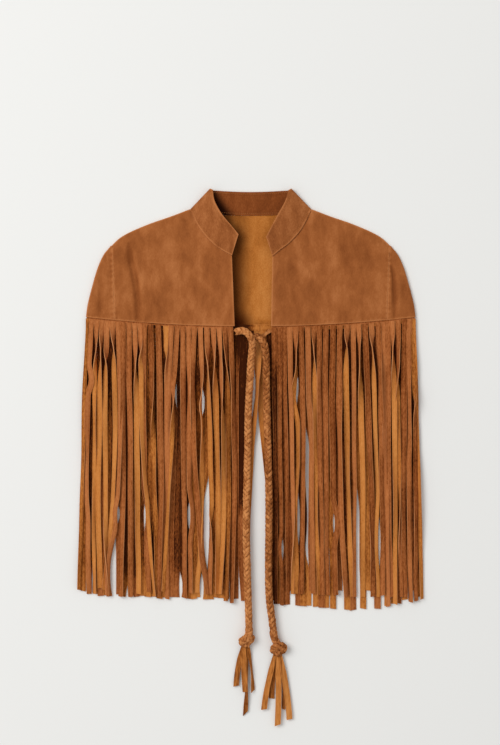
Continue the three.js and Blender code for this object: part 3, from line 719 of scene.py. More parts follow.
def front_point(side, u, v):
    """A point of a front panel's middle surface: u from the opening to the cap, v from the hem up."""
    front = FRONTS[side]
    if u <= NECK_SHARE:
        share = u / NECK_SHARE
        top = curve(neck_seam(front), share)
        edge, roll = neck_height(front, share), mix(NECK_ROLL, SHOULDER_ROLL, share)
    else:
        share = (u - NECK_SHARE) / (1 - NECK_SHARE)
        top = curve(SHOULDER_LINE, share)
        edge, roll = mix(NECK_MID, SHOULDER_MID, ease(share * 6)), SHOULDER_ROLL
    if u >= 1:
        top[0] = SHOULDER_POINT[0] - SEAM_GAP / 2
    foot_x = mix(front["edge_hem"], CAP_SEAM_HEM_X - SEAM_GAP / 2, u)
    x, y = mix(foot_x, top[0], v), mix(hem_y(foot_x), top[1], v)
    flat = front_height(front, x) + fold_height(side, x, v)
    down = ease((1 - v) * (top[1] - hem_y(foot_x)) / roll)
    z = mix(edge, flat, down)
    x *= front["sign"]
    crease = creased(FRONT_CREASES[side], x, y) * ease((1 - v) * 9)
    # puckers where the cap seam pulls, and small ones between the hem's stitches
    from_cap = abs(u - 1) * (CAP_SEAM_HEM_X - front["edge_hem"])
    pucker = 0.28 * bell(from_cap, 4.5) * seam_pucker(y)
    pucker += 0.16 * bell(y - hem_y(foot_x) - 4, 3) * math.sin(x / 1.3 + 2 * math.sin(x / 17))
    if u <= NECK_SHARE:
        pucker -= 0.6 * bell((1 - v) * NECK_RUN, 2.2)
    return (x, y, z + crease + pucker), crease + pucker


for side, front in FRONTS.items():
    columns, rub_and_shade = [], []
    for u in shares(FRONT_ACROSS):
        found = [front_point(side, u, v) for v in shares(FRONT_UP)]
        columns.append([point for point, _ in found])
        # painted shade: the left front's opening edge faces away from the lamp, so most of the paler rim of its cut
        # edge is taken off
        edge_shade = -0.6 if u == 0 and side == "left" else 0
        # the lift of creases and puckers: troughs are darkened with painted shade, ridges made paler as worn
        rub_and_shade.append([max(-0.5, min(0.4, 0.45 * lift)) + edge_shade for _, lift in found])
    if front["sign"] < 0:
        columns.reverse()
        rub_and_shade.reverse()
    cloth("front_panel_" + side, "front_yoke_" + side, columns, SUEDE,
                         [outer_suede, flesh_suede, edge_suede], rub_and_shade)


# ======== Shoulder caps ========
# The outer end of each shoulder is one piece of suede that folds round the cape's side from front to back.
# It is sewn to the front and to the back panel with the seam allowance turned inwards.
SIDE_FOLD = [(HEM_HALF_WIDTH, hem_y(HEM_HALF_WIDTH)), (261, -55), (254, -27), (245.5, 2), (236, 23.4), (225.3, 36.4)]
CAP_CREASES = {
    "left": [
        ridge([(-243, -30), (-242, -50), (-243, -72)], 3, -0.5),
        ridge([(-228, 20), (-233, -10), (-232, -40)], 4, 0.4),
        ridge([(-250, -8), (-247, -30), (-250, -60)], 4, 0.3),
    ],
    "right": [
        ridge([(225, 4), (228.4, -8), (229.4, -40), (229.6, -84)], 3.2, -2.2),
        ridge([(223.6, 0), (224.4, -30), (224.6, -80)], 1.6, 0.5),
        ridge([(236, -6), (238, -30), (238.5, -70)], 3.4, 0.5),
        ridge([(246, -10), (244, -40), (247, -72)], 4, -0.35),
    ],
}
CAP_TOP_Y = 38.7
CAP_TOP_MID = 4
CAP_FLAT, CAP_TURN, CAP_UP = 16, 12, 60  # faces across each half, round the fold and from the hem up
for side, front in FRONTS.items():
    columns = [[] for _ in range(2 * CAP_FLAT + CAP_TURN + 1)]
    rub_and_shade = [[] for _ in columns]
    for v in shares(CAP_UP):
        fold = curve(SIDE_FOLD, v)
        seam_x = mix(CAP_SEAM_HEM_X, SHOULDER_POINT[0], v) + SEAM_GAP / 2
        seam_y = mix(hem_y(CAP_SEAM_HEM_X), CAP_TOP_Y, v)
        front_mid = mix(SIDE_MID, CAP_TOP_MID, ease((v - 0.6) / 0.4))
        radius = (front_mid - SUEDE / 2) / 2
        centre_x = fold[0] - radius - SUEDE / 2

        def add_point(k, x, z, fold_rub=0.0):
            y = mix(seam_y, fold[1], min(1.0, max(0.0, (x - seam_x) / (fold[0] - seam_x))))
            lift = 0.0
            if z > SUEDE / 2 + radius:
                lift = creased(CAP_CREASES[side], front["sign"] * x, y) * ease((1 - v) * 6)
                lift += 0.4 * bell(x - seam_x, 5) * seam_pucker(y, 0.7)
                lift += 0.16 * bell(y - hem_y(x) - 4, 3) * math.sin(x / 1.3)
                lift *= ease((centre_x + radius - x) / 4)
            columns[k].append((front["sign"] * x, y, z + lift))
            # the lift of creases and seam puckers: troughs darkened with painted shade, ridges paler as worn; the fold
            # round the side is paler as worn
            rub_and_shade[k].append(max(-0.5, min(0.45, 0.45 * lift)) + fold_rub)

        for i in range(CAP_FLAT):
            x = mix(seam_x, centre_x, i / CAP_FLAT)
            add_point(i, x, front_mid)
            add_point(len(columns) - 1 - i, x, ON_TABLE)
        for i in range(CAP_TURN + 1):
            turn = math.pi * i / CAP_TURN
            add_point(CAP_FLAT + i, centre_x + radius * math.sin(turn), ON_TABLE + radius * (1 + math.cos(turn)),
                      0.7 * math.sin(turn) ** 2)
    if front["sign"] < 0:
        columns.reverse()
        rub_and_shade.reverse()
    cap = cloth("cap_" + side, "shoulder_cap_" + side, columns, SUEDE, [outer_suede, flesh_suede, edge_suede], rub_and_shade)


# ======== Collar ========
# A stand collar of two layers of suede turned out at their edges and topstitched all round.
# It runs from one side of the opening round the back of the neck to the other, folded flat at the shoulders.
COLLAR_WALL = 2
COLLAR_CORNER = (60, 127.2)
COLLAR_TOP_Y = 124.3
COLLAR_STAND = 3.4
COLLAR_FRONT = (88, 34)  # its front half: length and height
COLLAR_BACK_HEIGHT = 40
STITCH_INSET = 3.7
COLLAR_LEAN = {"left": 7.0, "right": 4.0}  # its free edge stands this much further off the back where it turns


def collar_top(front):
    x, y = front["collar"]
    wide = 2.6 if front["sign"] < 0 else 0.0
    return [(x, y), (mix(x, 44, 0.45), 69), (43 + wide, 87), (55 + wide, 109), COLLAR_CORNER]


def collar_foot(front, w):
    foot = neck_seam(front)
    here, ahead, behind = curve(foot, w), curve(foot, min(1, w + 0.004)), curve(foot, max(0, w - 0.004))
    run = Vector((ahead[0] - behind[0], ahead[1] - behind[1])).normalized()
    return here[0] - run.y * SEAM_GAP, here[1] + run.x * SEAM_GAP


def collar_point(side, s, v):
    """A point of the collar's middle surface. s: 0 at the opening, 1 at the shoulder fold, 2 after it
    and 3 at the centre back. v: from the foot to the top edge."""
    front = FRONTS[side]
    back = COLLAR_WALL / 2
    bulge = 0.8 * (1 - ease(s * 8 - 7))
    if s <= 1:
        foot, top = collar_foot(front, s), curve(collar_top(front), s)
        foot_z = neck_height(front, s) + (0.7 if side == "left" else 1.5) * (1 - ease(s * 4 - 3))
        top_z = foot_z + COLLAR_STAND + COLLAR_LEAN[side] * ease(s * 1.6)
    elif s <= 2:
        turn = math.pi * (s - 1)
        ends = []
        for p, z, swell in ((collar_foot(front, 1), neck_height(front, 1), 0.8),
                            (COLLAR_CORNER, neck_height(front, 1) + COLLAR_STAND + COLLAR_LEAN[side], 3.0)):
            radius = (z - back) / 2
            out = min(swell, radius * 0.58) * math.sin(turn)
            ends.append(((p[0] + out, p[1] + out), back + radius * (1 + math.cos(turn))))
        (foot, foot_z), (top, top_z) = ends
    else:
        w = s - 2
        foot = curve(BACK_NECK, w)
        foot = (foot[0], foot[1] + SEAM_GAP)
        top_x = mix(COLLAR_CORNER[0], 0, w)
        top = (top_x, mix(COLLAR_TOP_Y, COLLAR_CORNER[1], (top_x / COLLAR_CORNER[0]) ** 2))
        foot_z = top_z = back + 0.02
    # the foot runs down into the shoulder seam at the fold
    tuck = ease((s - 0.9) * 10) * ease((2.1 - s) * 10)
    foot = (foot[0] - tuck, foot[1] - 2.4 * tuck)
    up = v * (1 - 0.05 * bell(s - 1.5, 0.45))  # the turned corner is rounded
    x, y = mix(foot[0], top[0], up), mix(foot[1], top[1], up)
    z = mix(foot_z, top_z, up) + bulge * 4 * up * (1 - up)
    # the turned edges are thicker than the middle, and the stitching draws the layers in beside them
    if s <= 1:
        from_end, from_edge = s * COLLAR_FRONT[0], min(v, 1 - v) * COLLAR_FRONT[1]
        z += 0.28 * bell(from_edge, 1.6) - 0.3 * bell(from_edge - STITCH_INSET, 1.0)
        z -= 0.3 * bell(from_end - STITCH_INSET, 1.0)
        z += 0.22 * math.sin(s * 17 + 3 * v) * math.sin(math.pi * v)
    return front["sign"] * x, y, z


COLLAR_UP = 22
stops = shares(60) + [1 + t for t in shares(14)[1:]] + [2 + t for t in shares(40)[1:]]
halves = {side: [[collar_point(side, s, v) for v in shares(COLLAR_UP)] for s in stops] for side in FRONTS}
collar_columns = halves["right"][:-1] + halves["left"][::-1]
collar_rub, collar_painted_shade = [], []
for column in collar_columns:
    inner = -0.7 if column[0][1] > 80 and abs(column[0][0]) < 96 else 0
    # dimmed along the stitch rows, and the back part's edges lose most of the paler rim
    collar_rub.append([-0.18 * bell(min(v, 1 - v) * COLLAR_FRONT[1] - STITCH_INSET, 1.2)
                       + (inner if v in (0, 1) else 0) for v in shares(COLLAR_UP)])
    # painted shadow inside the collar at the left, cast by the collar's raised left front
    collar_painted_shade.append([0.97 * (1 - ease((x + 32 + 0.75 * (y - 92)) / 20 + 0.5)) for x, y, _ in column])
collar_suede = suede("collar_suede", tint(122, 66, 31), tint(151, 88, 46), tint(180, 113, 66))
# the inside face is the same suede painted dimmer as shade; its kept colour, tint(38, 13, 5), is the near-black painted
# shadow at the left
collar_inside_shaded = suede("collar_inside_shaded", tint(104, 52, 22), tint(129, 68, 31), tint(152, 86, 44), painted_shade=tint(38, 13, 5))
collar = cloth("collar_band", "collar", collar_columns, COLLAR_WALL, [collar_suede, collar_inside_shaded, collar_suede],
               collar_rub, collar_painted_shade, rounding=0.8)


# ======== Front fringes ========
# A strip of suede is sewn under each front's hem and cut into strands that start 3 mm below the stitching.
# The strands hang and turn over, so some show their flesh side, and a few cross their neighbours.
THONG = 1.2  # thickness of the suede they are cut from
ROOT_WIDTH = 8.9
STRAND_STEPS = 54
LAYER_GAP = 0.3
STRIP_TUCK = 12  # how much of the uncut edge is under the yoke, and how much shows below it
STRIP_SHOWS = 3
FRONT_FLOOR = 5.6  # height of the lowest strands near the hem and at their ends
END_FLOOR = 3.0
LAYER_STEP = 0.95
MID_Y = -312.8
PINCH = {"left": 0.2, "right": 0.12}  # how much a curled strand narrows below its root
TAPER = {"left": 0.12, "right": 0.15}  # and any strand towards its end
# Each strand: x at the hem, half way and at its end, y of its end, width, which layer it lies in,
# which side it shows at the hem, and where it turns over.
FRINGE_STRANDS = {
    "left": [
        (-261.4, -269.2, -274.6, -512.8, 8.0, 0, "flesh", []),
        (-254.6, -262.4, -258.6, -516.0, 9.6, 1, "suede", []),
        (-246.4, -250.9, -249.6, -517.6, 7.4, 0, "suede", [-128.8]),
        (-237.4, -243.5, -240.8, -509.6, 10.6, 1, "suede", [-136.8]),
        (-229.8, -233.0, -229.8, -521.6, 8.6, 2, "suede", [-168.8, -416.8]),
        (-221.9, -218.4, -235.2, -512.8, 8.3, 0, "suede", [-128.8]),
        (-212.8, -210.4, -228.0, -520.8, 8.6, 3, "suede", []),
        (-204.5, -204.8, -208.0, -523.0, 10.6, 1, "suede", []),
        (-194.9, -193.0, -192.0, -524.0, 9.3, 0, "suede", []),
        (-185.6, -181.6, -179.2, -519.2, 9.9, 1, "suede", [-160.8]),
        (-176.8, -170.4, -153.6, -522.4, 7.7, 3, "suede", [-156.0]),
        (-169.9, -171.2, -162.6, -516.0, 10.2, 0, "suede", []),
        (-160.6, -154.4, -150.4, -522.4, 9.0, 1, "suede", [-184.8]),
        (-148.0, -144.0, -148.0, -524.0, 10.9, 2, "suede", []),
        (-136.0, -136.0, -147.2, -524.0, 8.3, 0, "flesh", [-156.0]),
        (-127.2, -133.6, -133.6, -527.2, 9.0, 1, "suede", []),
        (-117.6, -128.8, -139.7, -515.2, 7.7, 3, "suede", [-216.8]),
        (-108.5, -107.2, -105.6, -525.6, 9.3, 0, "suede", []),
        (-99.2, -98.4, -96.0, -517.6, 9.0, 1, "suede", []),
        (-90.1, -89.6, -68.8, -519.2, 10.2, 3, "suede", []),
        (-81.0, -77.6, -84.8, -517.6, 9.0, 0, "suede", [-232.8]),
        (-70.4, -64.8, -65.6, -519.2, 8.6, 1, "suede", [-164.0, -424.8]),
        (-60.0, -53.3, -52.8, -520.0, 10.2, 0, "suede", [-138.8]),
        (-50.7, -43.2, -48.8, -519.2, 9.0, 2, "suede", [-152.8]),
        (-41.3, -35.2, -40.0, -530.4, 9.0, 1, "suede", [-144.8]),
        (-32.5, -26.4, -30.4, -533.6, 9.0, 0, "suede", []),
    ],
    "right": [
        (37.4, 39.6, 40.0, -535.2, 7.6, 0, "suede", []),
        (45.4, 47.6, 49.6, -537.6, 7.2, 2, "suede", []),
        (53.4, 56.6, 60.0, -519.2, 7.2, 0, "suede", []),
        (62.1, 66.4, 67.2, -519.2, 7.6, 2, "suede", [-424.8]),
        (71.0, 75.2, 72.0, -519.2, 9.0, 0, "suede", [-134.8]),
        (80.2, 84.0, 81.6, -519.2, 8.6, 2, "suede", []),
        (91.0, 96.0, 100.0, -519.2, 9.3, 1, "suede", []),
        (101.1, 103.7, 109.6, -520.8, 8.0, 0, "suede", [-128.8]),
        (109.8, 111.2, 115.2, -520.8, 9.0, 1, "suede", []),
        (120.3, 120.0, 123.2, -520.8, 9.3, 0, "suede", []),
        (131.8, 131.2, 136.0, -521.1, 10.9, 1, "suede", []),
        (142.7, 142.4, 152.8, -523.4, 10.9, 2, "suede", []),
        (154.2, 154.4, 163.2, -523.4, 9.6, 0, "suede", [-132.8]),
        (163.7, 166.4, 168.0, -524.0, 7.4, 1, "suede", []),
        (172.5, 178.4, 179.2, -524.0, 9.6, 0, "suede", [-128.8]),
        (182.4, 191.2, 195.7, -523.4, 10.2, 1, "suede", []),
        (193.0, 201.6, 204.0, -524.0, 7.4, 0, "suede", [-136.8]),
        (203.8, 209.6, 211.2, -521.6, 9.3, 1, "suede", []),
        (213.1, 216.0, 220.0, -539.5, 9.0, 0, "suede", []),
        (219.7, 220.8, 225.6, -524.0, 8.6, 1, "suede", []),
        (226.1, 230.4, 231.2, -535.2, 9.0, 2, "suede", [-128.8]),
        (236.0, 236.8, 240.8, -524.0, 8.3, 0, "suede", [-144.8, -368.8]),
        (246.6, 244.0, 247.2, -524.8, 9.9, 1, "suede", []),
        (253.9, 252.8, 256.0, -532.0, 9.3, 0, "suede", []),
        (259.6, 263.6, 266.2, -530.4, 8.0, 1, "flesh", [-240.8]),
        (261.4, 268.0, 274.0, -527.4, 8.0, 0, "flesh", []),
    ],
}
# Where the strands part and the table shows: x at the top and at the foot, from y, to y, how wide.
PARTINGS = [
    (-265.3, -265.3, -384.8, -431.2, 2.4), (-260.0, -260.0, -160.8, -189.6, 1.6),
    (-211.5, -211.5, -375.2, -407.2, 3.2), (-169.9, -169.9, -367.2, -421.6, 2.6),
    (-120.0, -119.5, -181.6, -220.0, 1.8), (-98.9, -98.9, -365.6, -421.6, 3.8),
    (-76.2, -76.2, -189.6, -236.0, 4.2), (-70.4, -71.2, -341.6, -466.4, 8.0),
    (-220.3, -220.3, -445.6, -528.8, 8.3), (-198.4, -198.4, -512.8, -533.6, 3.2),
    (-112.0, -112.0, -488.8, -528.8, 4.8), (-78.7, -78.7, -488.8, -532.0, 5.4),
    (-16.3, -16.3, -480.8, -535.2, 3.8),
    (76.0, 72.8, -164.0, -224.8, 2.6), (90.9, 88.3, -248.8, -468.0, 5.1),
    (76.5, 76.5, -346.4, -444.0, 3.2), (51.0, 51.0, -429.6, -463.2, 2.6),
    (133.0, 133.0, -383.2, -429.6, 2.2), (171.5, 171.2, -354.4, -538.4, 4.5),
    (205.9, 205.9, -392.8, -477.6, 3.0), (258.1, 258.1, -292.0, -316.0, 1.4),
    (269.0, 269.0, -466.4, -528.8, 3.5),
]


def parted(xs, ys, half_widths):
    """The strand's line, pushed to its own side of every parting that it would cover."""
    xs = list(xs)
    for top_x, foot_x, top, foot, wide in PARTINGS:
        middle, reach = (top + foot) / 2, min(40.0, 0.42 * (top - foot))
        k = min(range(len(ys)), key=lambda i: abs(ys[i] - middle))
        here, wide = mix(top_x, foot_x, 0.5), wide + 1
        if abs(ys[k] - middle) > 12 or abs(xs[k] - here) > 26:
            continue
        way = 1 if xs[k] >= here else -1
        for i, y in enumerate(ys):
            at = mix(top_x, foot_x, min(1.0, max(0.0, (top - y) / (top - foot))))
            need = half_widths[i] + wide / 2 - way * (xs[i] - at)
            if need > 0:
                xs[i] += way * need * ease((top + reach - y) / (2 * reach)) * ease((y - foot + reach) / (2 * reach))
    return xs


def hanging_strip(sheaf, stations, height, roll, tuck=STRIP_TUCK, shows=STRIP_SHOWS, tone=lambda x: -0.05):
    """The uncut strip that the strands are cut from, under the hem: a ribbon across the cape."""
    xs = [mix(*stations, t) for t in shares(70)]
    line = [(x, hem_y(x) + (tuck - shows) / 2, height(x)) for x in xs]
    sheaf.lay(line, [tuck + shows] * len(xs), [roll] * len(xs), THONG, tone=[tone(x) for x in xs], under=-0.05)


# the fringe's deep tints are where the painted shade of the strands ends, and the reddish tint between stands in for
# light bounced between strands in shade; the same tints colour dark mottles
fringe_suede = suede("fringe_suede", tint(60, 25, 8), tint(166, 97, 51), tint(200, 127, 75), patch=18, mottle=110,
                     nap=620, lengthways=0.3, clouds=(0.25, 0.22, 0.55), between=tint(126, 66, 28))
fringe_flesh = suede("fringe_flesh", tint(64, 27, 8), tint(189, 117, 54), tint(215, 145, 80), patch=16, mottle=110,
                     nap=620, lengthways=0.3, clouds=(0.25, 0.22, 0.5), between=tint(142, 78, 30))
fringe_edge = suede("fringe_edge", tint(150, 90, 48), tint(182, 116, 68), tint(204, 140, 92), patch=30, nap=1600)


def wavy(dice, t, size):
    """A slow sideways wander of a strand, nothing at its root and at its end."""
    a, b, c, d = dice
    wander = math.sin(2.3 * math.pi * t * a + b) + 0.5 * math.sin(5.1 * math.pi * t * c + d)
    return size * ease(t * 4) * (1 - ease(t * 4 - 3)) * wander


def drawn_luck(name):
    """A strand's own random draws, and the first four, which shape its wander."""
    luck = random.Random(name)
    return luck, [luck.uniform(0.8, 1.2), luck.uniform(0, 6), luck.uniform(0.8, 1.2), luck.uniform(0, 6)]


for side, front in FRONTS.items():
    sheaf = Strips()

    def strip_height(x):
        z = SIDE_MID
        if abs(x) <= CAP_SEAM_HEM_X:
            share = (abs(x) - front["edge_hem"]) / (CAP_SEAM_HEM_X - front["edge_hem"])
            z = front_point(side, share, 0)[0][2]
        return z - SUEDE / 2 - LAYER_GAP - THONG / 2

    rows = FRINGE_STRANDS[side]
    outer = front["sign"] * (HEM_HALF_WIDTH - 1.8)
    inner = rows[-1][0] + 4 if side == "left" else rows[0][0] - 4
    hanging_strip(sheaf, sorted((outer, inner)), strip_height, 0.0)
    for k, (root, mid, end, end_y, width, layer, shows, turns) in enumerate(rows):
        luck, dice = drawn_luck(f"{side} {k}")
        root_y = hem_y(root) - STRIP_SHOWS + 1
        root_width = min(ROOT_WIDTH, 2 * (HEM_HALF_WIDTH - abs(root)))
        ts = shares(STRAND_STEPS)
        ys = [mix(root_y, end_y, t) for t in ts]
        t_mid = (root_y - MID_Y) / (root_y - end_y)
        bend = (mid - root - (end - root) * t_mid) / (t_mid * (1 - t_mid))
        # it curls a little from its root on, and some strands turn right over further down
        begin = math.pi if shows == "flesh" else 0.0
        way = 1 if luck.random() < 0.5 else -1
        curl = luck.choice((0.25, 0.5, 0.8, 1.0)) * (1 if luck.random() < 0.6 else -1)
        early = luck.uniform(4.5, 9)
        swing, quick = luck.uniform(0.35, 1.0), luck.uniform(1.4, 3.4)
        widths, rolls = [], []
        for t, y in zip(ts, ys):
            roll = begin
            for turn in turns:
                lead = min(60.0, root_y - turn)
                past = min(1, max(0, (turn - y) / 120))
                roll += way * math.pi / 2 * (ease((turn + lead - y) / lead) + 1 - (1 - past) ** 1.7)
            roll += 0.5 * curl * ease((t - 0.06) * 9) * math.sin(math.pi * min(1.0, t * 2.4)) ** 2
            roll += ease(t * 4) * swing * math.sin(quick * math.pi * t + dice[1]) + 0.1 * ease(t * 4)
            pinch = 1 - abs(curl) * PINCH[side] * ease(t * 26) * bell(t * early, 1.1)
            wide = width * (0.92 - TAPER[side] * ease(t * 2 - 0.6))
            widths.append(mix(root_width, wide, ease(t * 3)) * pinch * (1 + 0.28 * math.sin(roll) ** 2))
            rolls.append(roll)
        xs = [mix(root, end, t) + bend * t * (1 - t) + wavy(dice, t, 0.6) for t in ts]
        if (side, k) not in (("left", 0), ("right", len(rows) - 1)):
            xs = parted(xs, ys, [w / 2 * abs(math.cos(r)) for w, r in zip(widths, rolls)])
        line = []
        for t, x, y, wide, roll in zip(ts, xs, ys, widths, rolls):
            rise = wide / 2 * abs(math.sin(roll))
            rest = mix(FRONT_FLOOR, END_FLOOR, ease(t * 1.4 - 0.2)) + LAYER_STEP * layer + THONG / 2 + rise * 0.75
            line.append((x, y, max(mix(strip_height(root), rest, ease(t / 0.25)), 2.8 + rise * 0.5)))
        cup, slant = luck.choice((-0.12, -0.09, -0.06, 0.05, 0.09)), luck.uniform(-0.9, 0.9)
        tone = luck.choice((-0.1, -0.05, -0.02, 0.04, 0.08))
        # painted shade: the strand beside the right cord is dimmed below its root, where the cord's shadow falls
        cord_shade = 0.17 if (side, k) == ("right", 0) else 0
        sheaf.lay(line, widths, rolls, THONG, cup, slant, [tone - cord_shade * ease(t * 5 - 0.2) for t in ts])
    fringe = sheaf.gather("front_fringe_" + side, [fringe_suede, fringe_flesh, fringe_edge])
    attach(fringe, "root")
    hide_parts("fringe_front_" + side)


# ======== Back fringes ========
# The back has the same fringe in two lengths that meet near the middle, flesh side up as it lies.
# The fronts' strands cover most of it; its ends look out below them, and in the middle it parts.
BACK_FLOOR = 0.4
BACK_STRIP_MID = SUEDE + LAYER_GAP + THONG / 2
BACK_TUCK = 3
BACK_SHOWS = 8
BACK_STEPS = 44
BACK_GAP = (15, 30)  # where it parts, and how wide
# Each length: strands, x of the first and the last at the hem and at the foot, how high it laps the other
# one, which way the gap pushes it, and how much painted shade dims its strands at the top, under the fronts' strands.
BACK_RUNS = {
    "left": dict(count=30, root=(-260.2, 14.2), end=(-272, 12.0), lap=1.3, way=-1, top_shade=0.27),
    "right": dict(count=27, root=(13.6, 260.2), end=(17, 272), lap=0, way=1, top_shade=0.3),
}
# The strands in the opening, where the fringe parts like a curtain: height, x, width, roll and tone.
# Tones below 0 are painted shade under the left front's edge and beside the cords; those above 0, mostly at the top
# of the last left strand, are painted light where the cords cross above them.
MIDDLE_STRANDS = {
    ("left", 26): [(-96, -19.4, 9.4, 0, -0.36), (-121, -20.6, 9.4, 0, -0.36), (-160, -23, 8.6, 0.2, -0.2),
                   (-177, -23.4, 8.4, 0.3, -0.08), (-288, -24.4, 11, 0.3, -0.1), (-400, -26.4, 14.2, 0, -0.1),
                   (-480, -26.9, 14.6, 0, -0.1), (-540, -26.6, 13.4, 0, -0.04)],
    ("left", 27): [(-96, -10, 9.6, 0, -0.34), (-177, -14.2, 13, 0, -0.34), (-288, -15, 12, 0, -0.4),
                   (-370, -15.6, 8, 0.3, -0.3), (-400, -15, 9.6, 0.3, -0.04), (-440, -14.4, 11, 0, -0.04),
                   (-480, -13.6, 11, 0, -0.04), (-540, -10.2, 9.6, 0, 0)],
    ("left", 28): [(-96, 0.4, 10, 0, -0.3), (-177, -4, 11, 0, -0.36), (-400, -8, 11, 0, -0.3), (-540, -8, 9, 0, 0)],
    ("left", 29): [(-96, 9.8, 9, 0, 0), (-121, 10.6, 13.6, 0, 0.2), (-140, 11, 13, 0.15, 0.16),
                   (-161, 11.4, 12, 0.7, 0.08), (-178, 10.8, 11, 1.1, 0.06), (-205, 9.6, 11, 1.15, 0),
                   (-235, 6.4, 11, 0.9, 0), (-280, 1.2, 10, 0.4, 0), (-400, -5, 9, 0, 0), (-540, -7, 8, 0, 0)],
    ("right", 0): [(-96, 19, 9, 0, 0), (-121, 21, 10, 0, 0), (-178, 18.4, 10.4, -0.2, 0.04),
                   (-228, 17.2, 10.6, -0.2, 0.04), (-260, 19.6, 10, 0, 0), (-300, 25, 12, 0, -0.2),
                   (-368, 32.4, 12.4, 0, -0.3), (-480, 34, 12, 0, -0.3), (-540, 35, 10, 0, -0.25)],
    ("right", 1): [(-96, 28.5, 9, 0, -0.3), (-177, 33, 10, 0, -0.3), (-400, 41.6, 11, 0, -0.3),
                   (-480, 43.4, 11, 0, -0.2), (-540, 44.2, 9.6, 0, -0.1)],
}
# Where the right run's strands end: some hang below the front's, the others stop behind them.
RIGHT_ENDS = [
    (30, -530), (41, -535.2), (46.8, -536.8), (56, -514), (67.8, -538.4), (76.7, -539), (85.4, -538.4),
    (92, -514), (99.2, -540), (109, -541.6), (116, -541.6), (128, -543.2), (138, -514), (151.6, -544.8),
    (161.5, -545.4), (168, -514), (178, -543.2), (187, -514), (194, -514), (201.6, -543.2), (209, -514),
    (217.9, -538.4), (229, -535.2), (235.6, -534.6), (246, -528.8), (257.6, -514), (268, -524),
]


def back_end_y(x):
    return float(np.interp(x, [-280, -240, -160, -60, 0, 40, 110, 160, 210, 250, 280],
                           [-514, -520, -526, -526, -530, -538, -541, -545, -540, -531, -526]))


for side, run in BACK_RUNS.items():
    sheaf = Strips()
    # the uncut strip is painted dim on its left, as the shadow under the left front's edge, with small random waves in
    # brightness
    hanging_strip(sheaf, run["root"], lambda x: BACK_STRIP_MID + run["lap"] * ease((x - 6) / 6), math.pi,
                  BACK_TUCK, BACK_SHOWS, lambda x: -0.02 - 0.4 * (1 - ease((x + 12) / 22)) + 0.03 * math.sin(x * 1.3))
    for k in range(run["count"]):
        luck, dice = drawn_luck(f"back {side} {k}")
        lane = (k + 0.5) / run["count"]
        root, end = mix(*run["root"], lane), mix(*run["end"], lane) + luck.uniform(-0.7, 0.7)
        width = luck.uniform(10.8, 12.4) if abs(root) < 240 else 9.2
        root_y = hem_y(root) - BACK_SHOWS + 1
        foot_x, end_y = end, back_end_y(end) + luck.uniform(-2.5, 2.5)
        if side == "right":
            foot_x, end_y = RIGHT_ENDS[k]
        ts = shares(BACK_STEPS)
        ys = [mix(root_y, end_y, t) for t in ts]
        tilt, luck_tone = luck.uniform(-0.15, 0.15), luck.uniform(-0.1, 0.06)
        turned = luck.random() < 0.45
        # painted shade on the side that faces up: dim at the top under the fronts' strands, fading down at each
        # strand's own rate and gone near the ends; the side that faces down gets none
        deep = luck.choice((1.0, 0.8, 0.3))
        tones = [luck_tone - run["top_shade"] * (1 - (1 - deep) * ease(t * 2.4 - 0.3)) * (1 - ease(t * 7 - 6))
                 for t in ts]
        widths = [mix(9.0, width, ease(t * 5)) * (1 - 0.14 * ease(t * 3 - 2)) for t in ts]
        rolls = [math.pi * (1 - turned) + ease(t * 5) * tilt for t in ts]
        xs = []
        for t in ts:
            x = mix(root, end, 0.3 * ease(t / 0.035) + 0.7 * (1 - (1 - t) ** 1.4)) + wavy(dice, t, 0.8)
            part = BACK_GAP[1] / 2 * ease((t - 0.2) / 0.5) * math.exp(-abs(x - BACK_GAP[0]) / 80)
            xs.append(x + part * run["way"] + (foot_x - end) * ease((t - 0.45) / 0.5))
        middle_strand = MIDDLE_STRANDS.get((side, k))
        if middle_strand:
            at_y, *rest = zip(*reversed(middle_strand))
            xs, widths, rolls, tones = ([float(a) for a in np.interp(ys, at_y, values)] for values in rest)
            rolls = [roll + (0 if 26 <= k <= 28 else math.pi) for roll in rolls]
        elif abs(root) < 240:
            xs = parted(xs, ys, [w / 2 for w in widths])
        line = []
        for t, x, y, wide, roll in zip(ts, xs, ys, widths, rolls):
            rise = wide / 2 * abs(math.sin(roll)) * (1 if middle_strand else ease(t * 5))
            z = mix(BACK_STRIP_MID, BACK_FLOOR + THONG / 2 + 1.1 * (k % 2) + rise, ease(t / 0.12))
            line.append((x, y, max(z, 0.75 + wide / 2 * abs(math.sin(roll)))))
        sheaf.lay(line, widths, rolls, THONG, cup=luck.uniform(-0.02, 0.03), slant=luck.uniform(-0.8, 0.8),
                  tone=tones, under=luck_tone)
    fringe = sheaf.gather("back_fringe_" + side, [fringe_suede, fringe_flesh, fringe_edge])
    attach(fringe, "root")
    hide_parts("fringe_back_" + side)


# ======== Tie tab ========
# A short strap of the same suede comes out from under the right front's hem corner
# and holds the start of the right cord.
TAB_START = (32.4, -96.6, 8.1)
TAB_END = (15.0, -109.5, 6.35)
sheaf = Strips()
tab_line = []
for t in shares(12):
    tab_line.append((mix(TAB_START[0], TAB_END[0], t), mix(TAB_START[1], TAB_END[1], t),
                     mix(TAB_START[2], TAB_END[2], ease(t * 1.6)) + 0.4 * math.sin(math.pi * t)))
tab_widths = [5.6 + 0.8 * math.sin(i) for i in range(len(tab_line))]
sheaf.lay(tab_line, tab_widths, [0.0] * len(tab_line), THONG, cup=0.05, tone=0.05)
tie_tab = sheaf.gather("cord_tab", [braid_suede, fringe_flesh, fringe_edge])
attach(tie_tab, "root")
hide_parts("tie_tab")


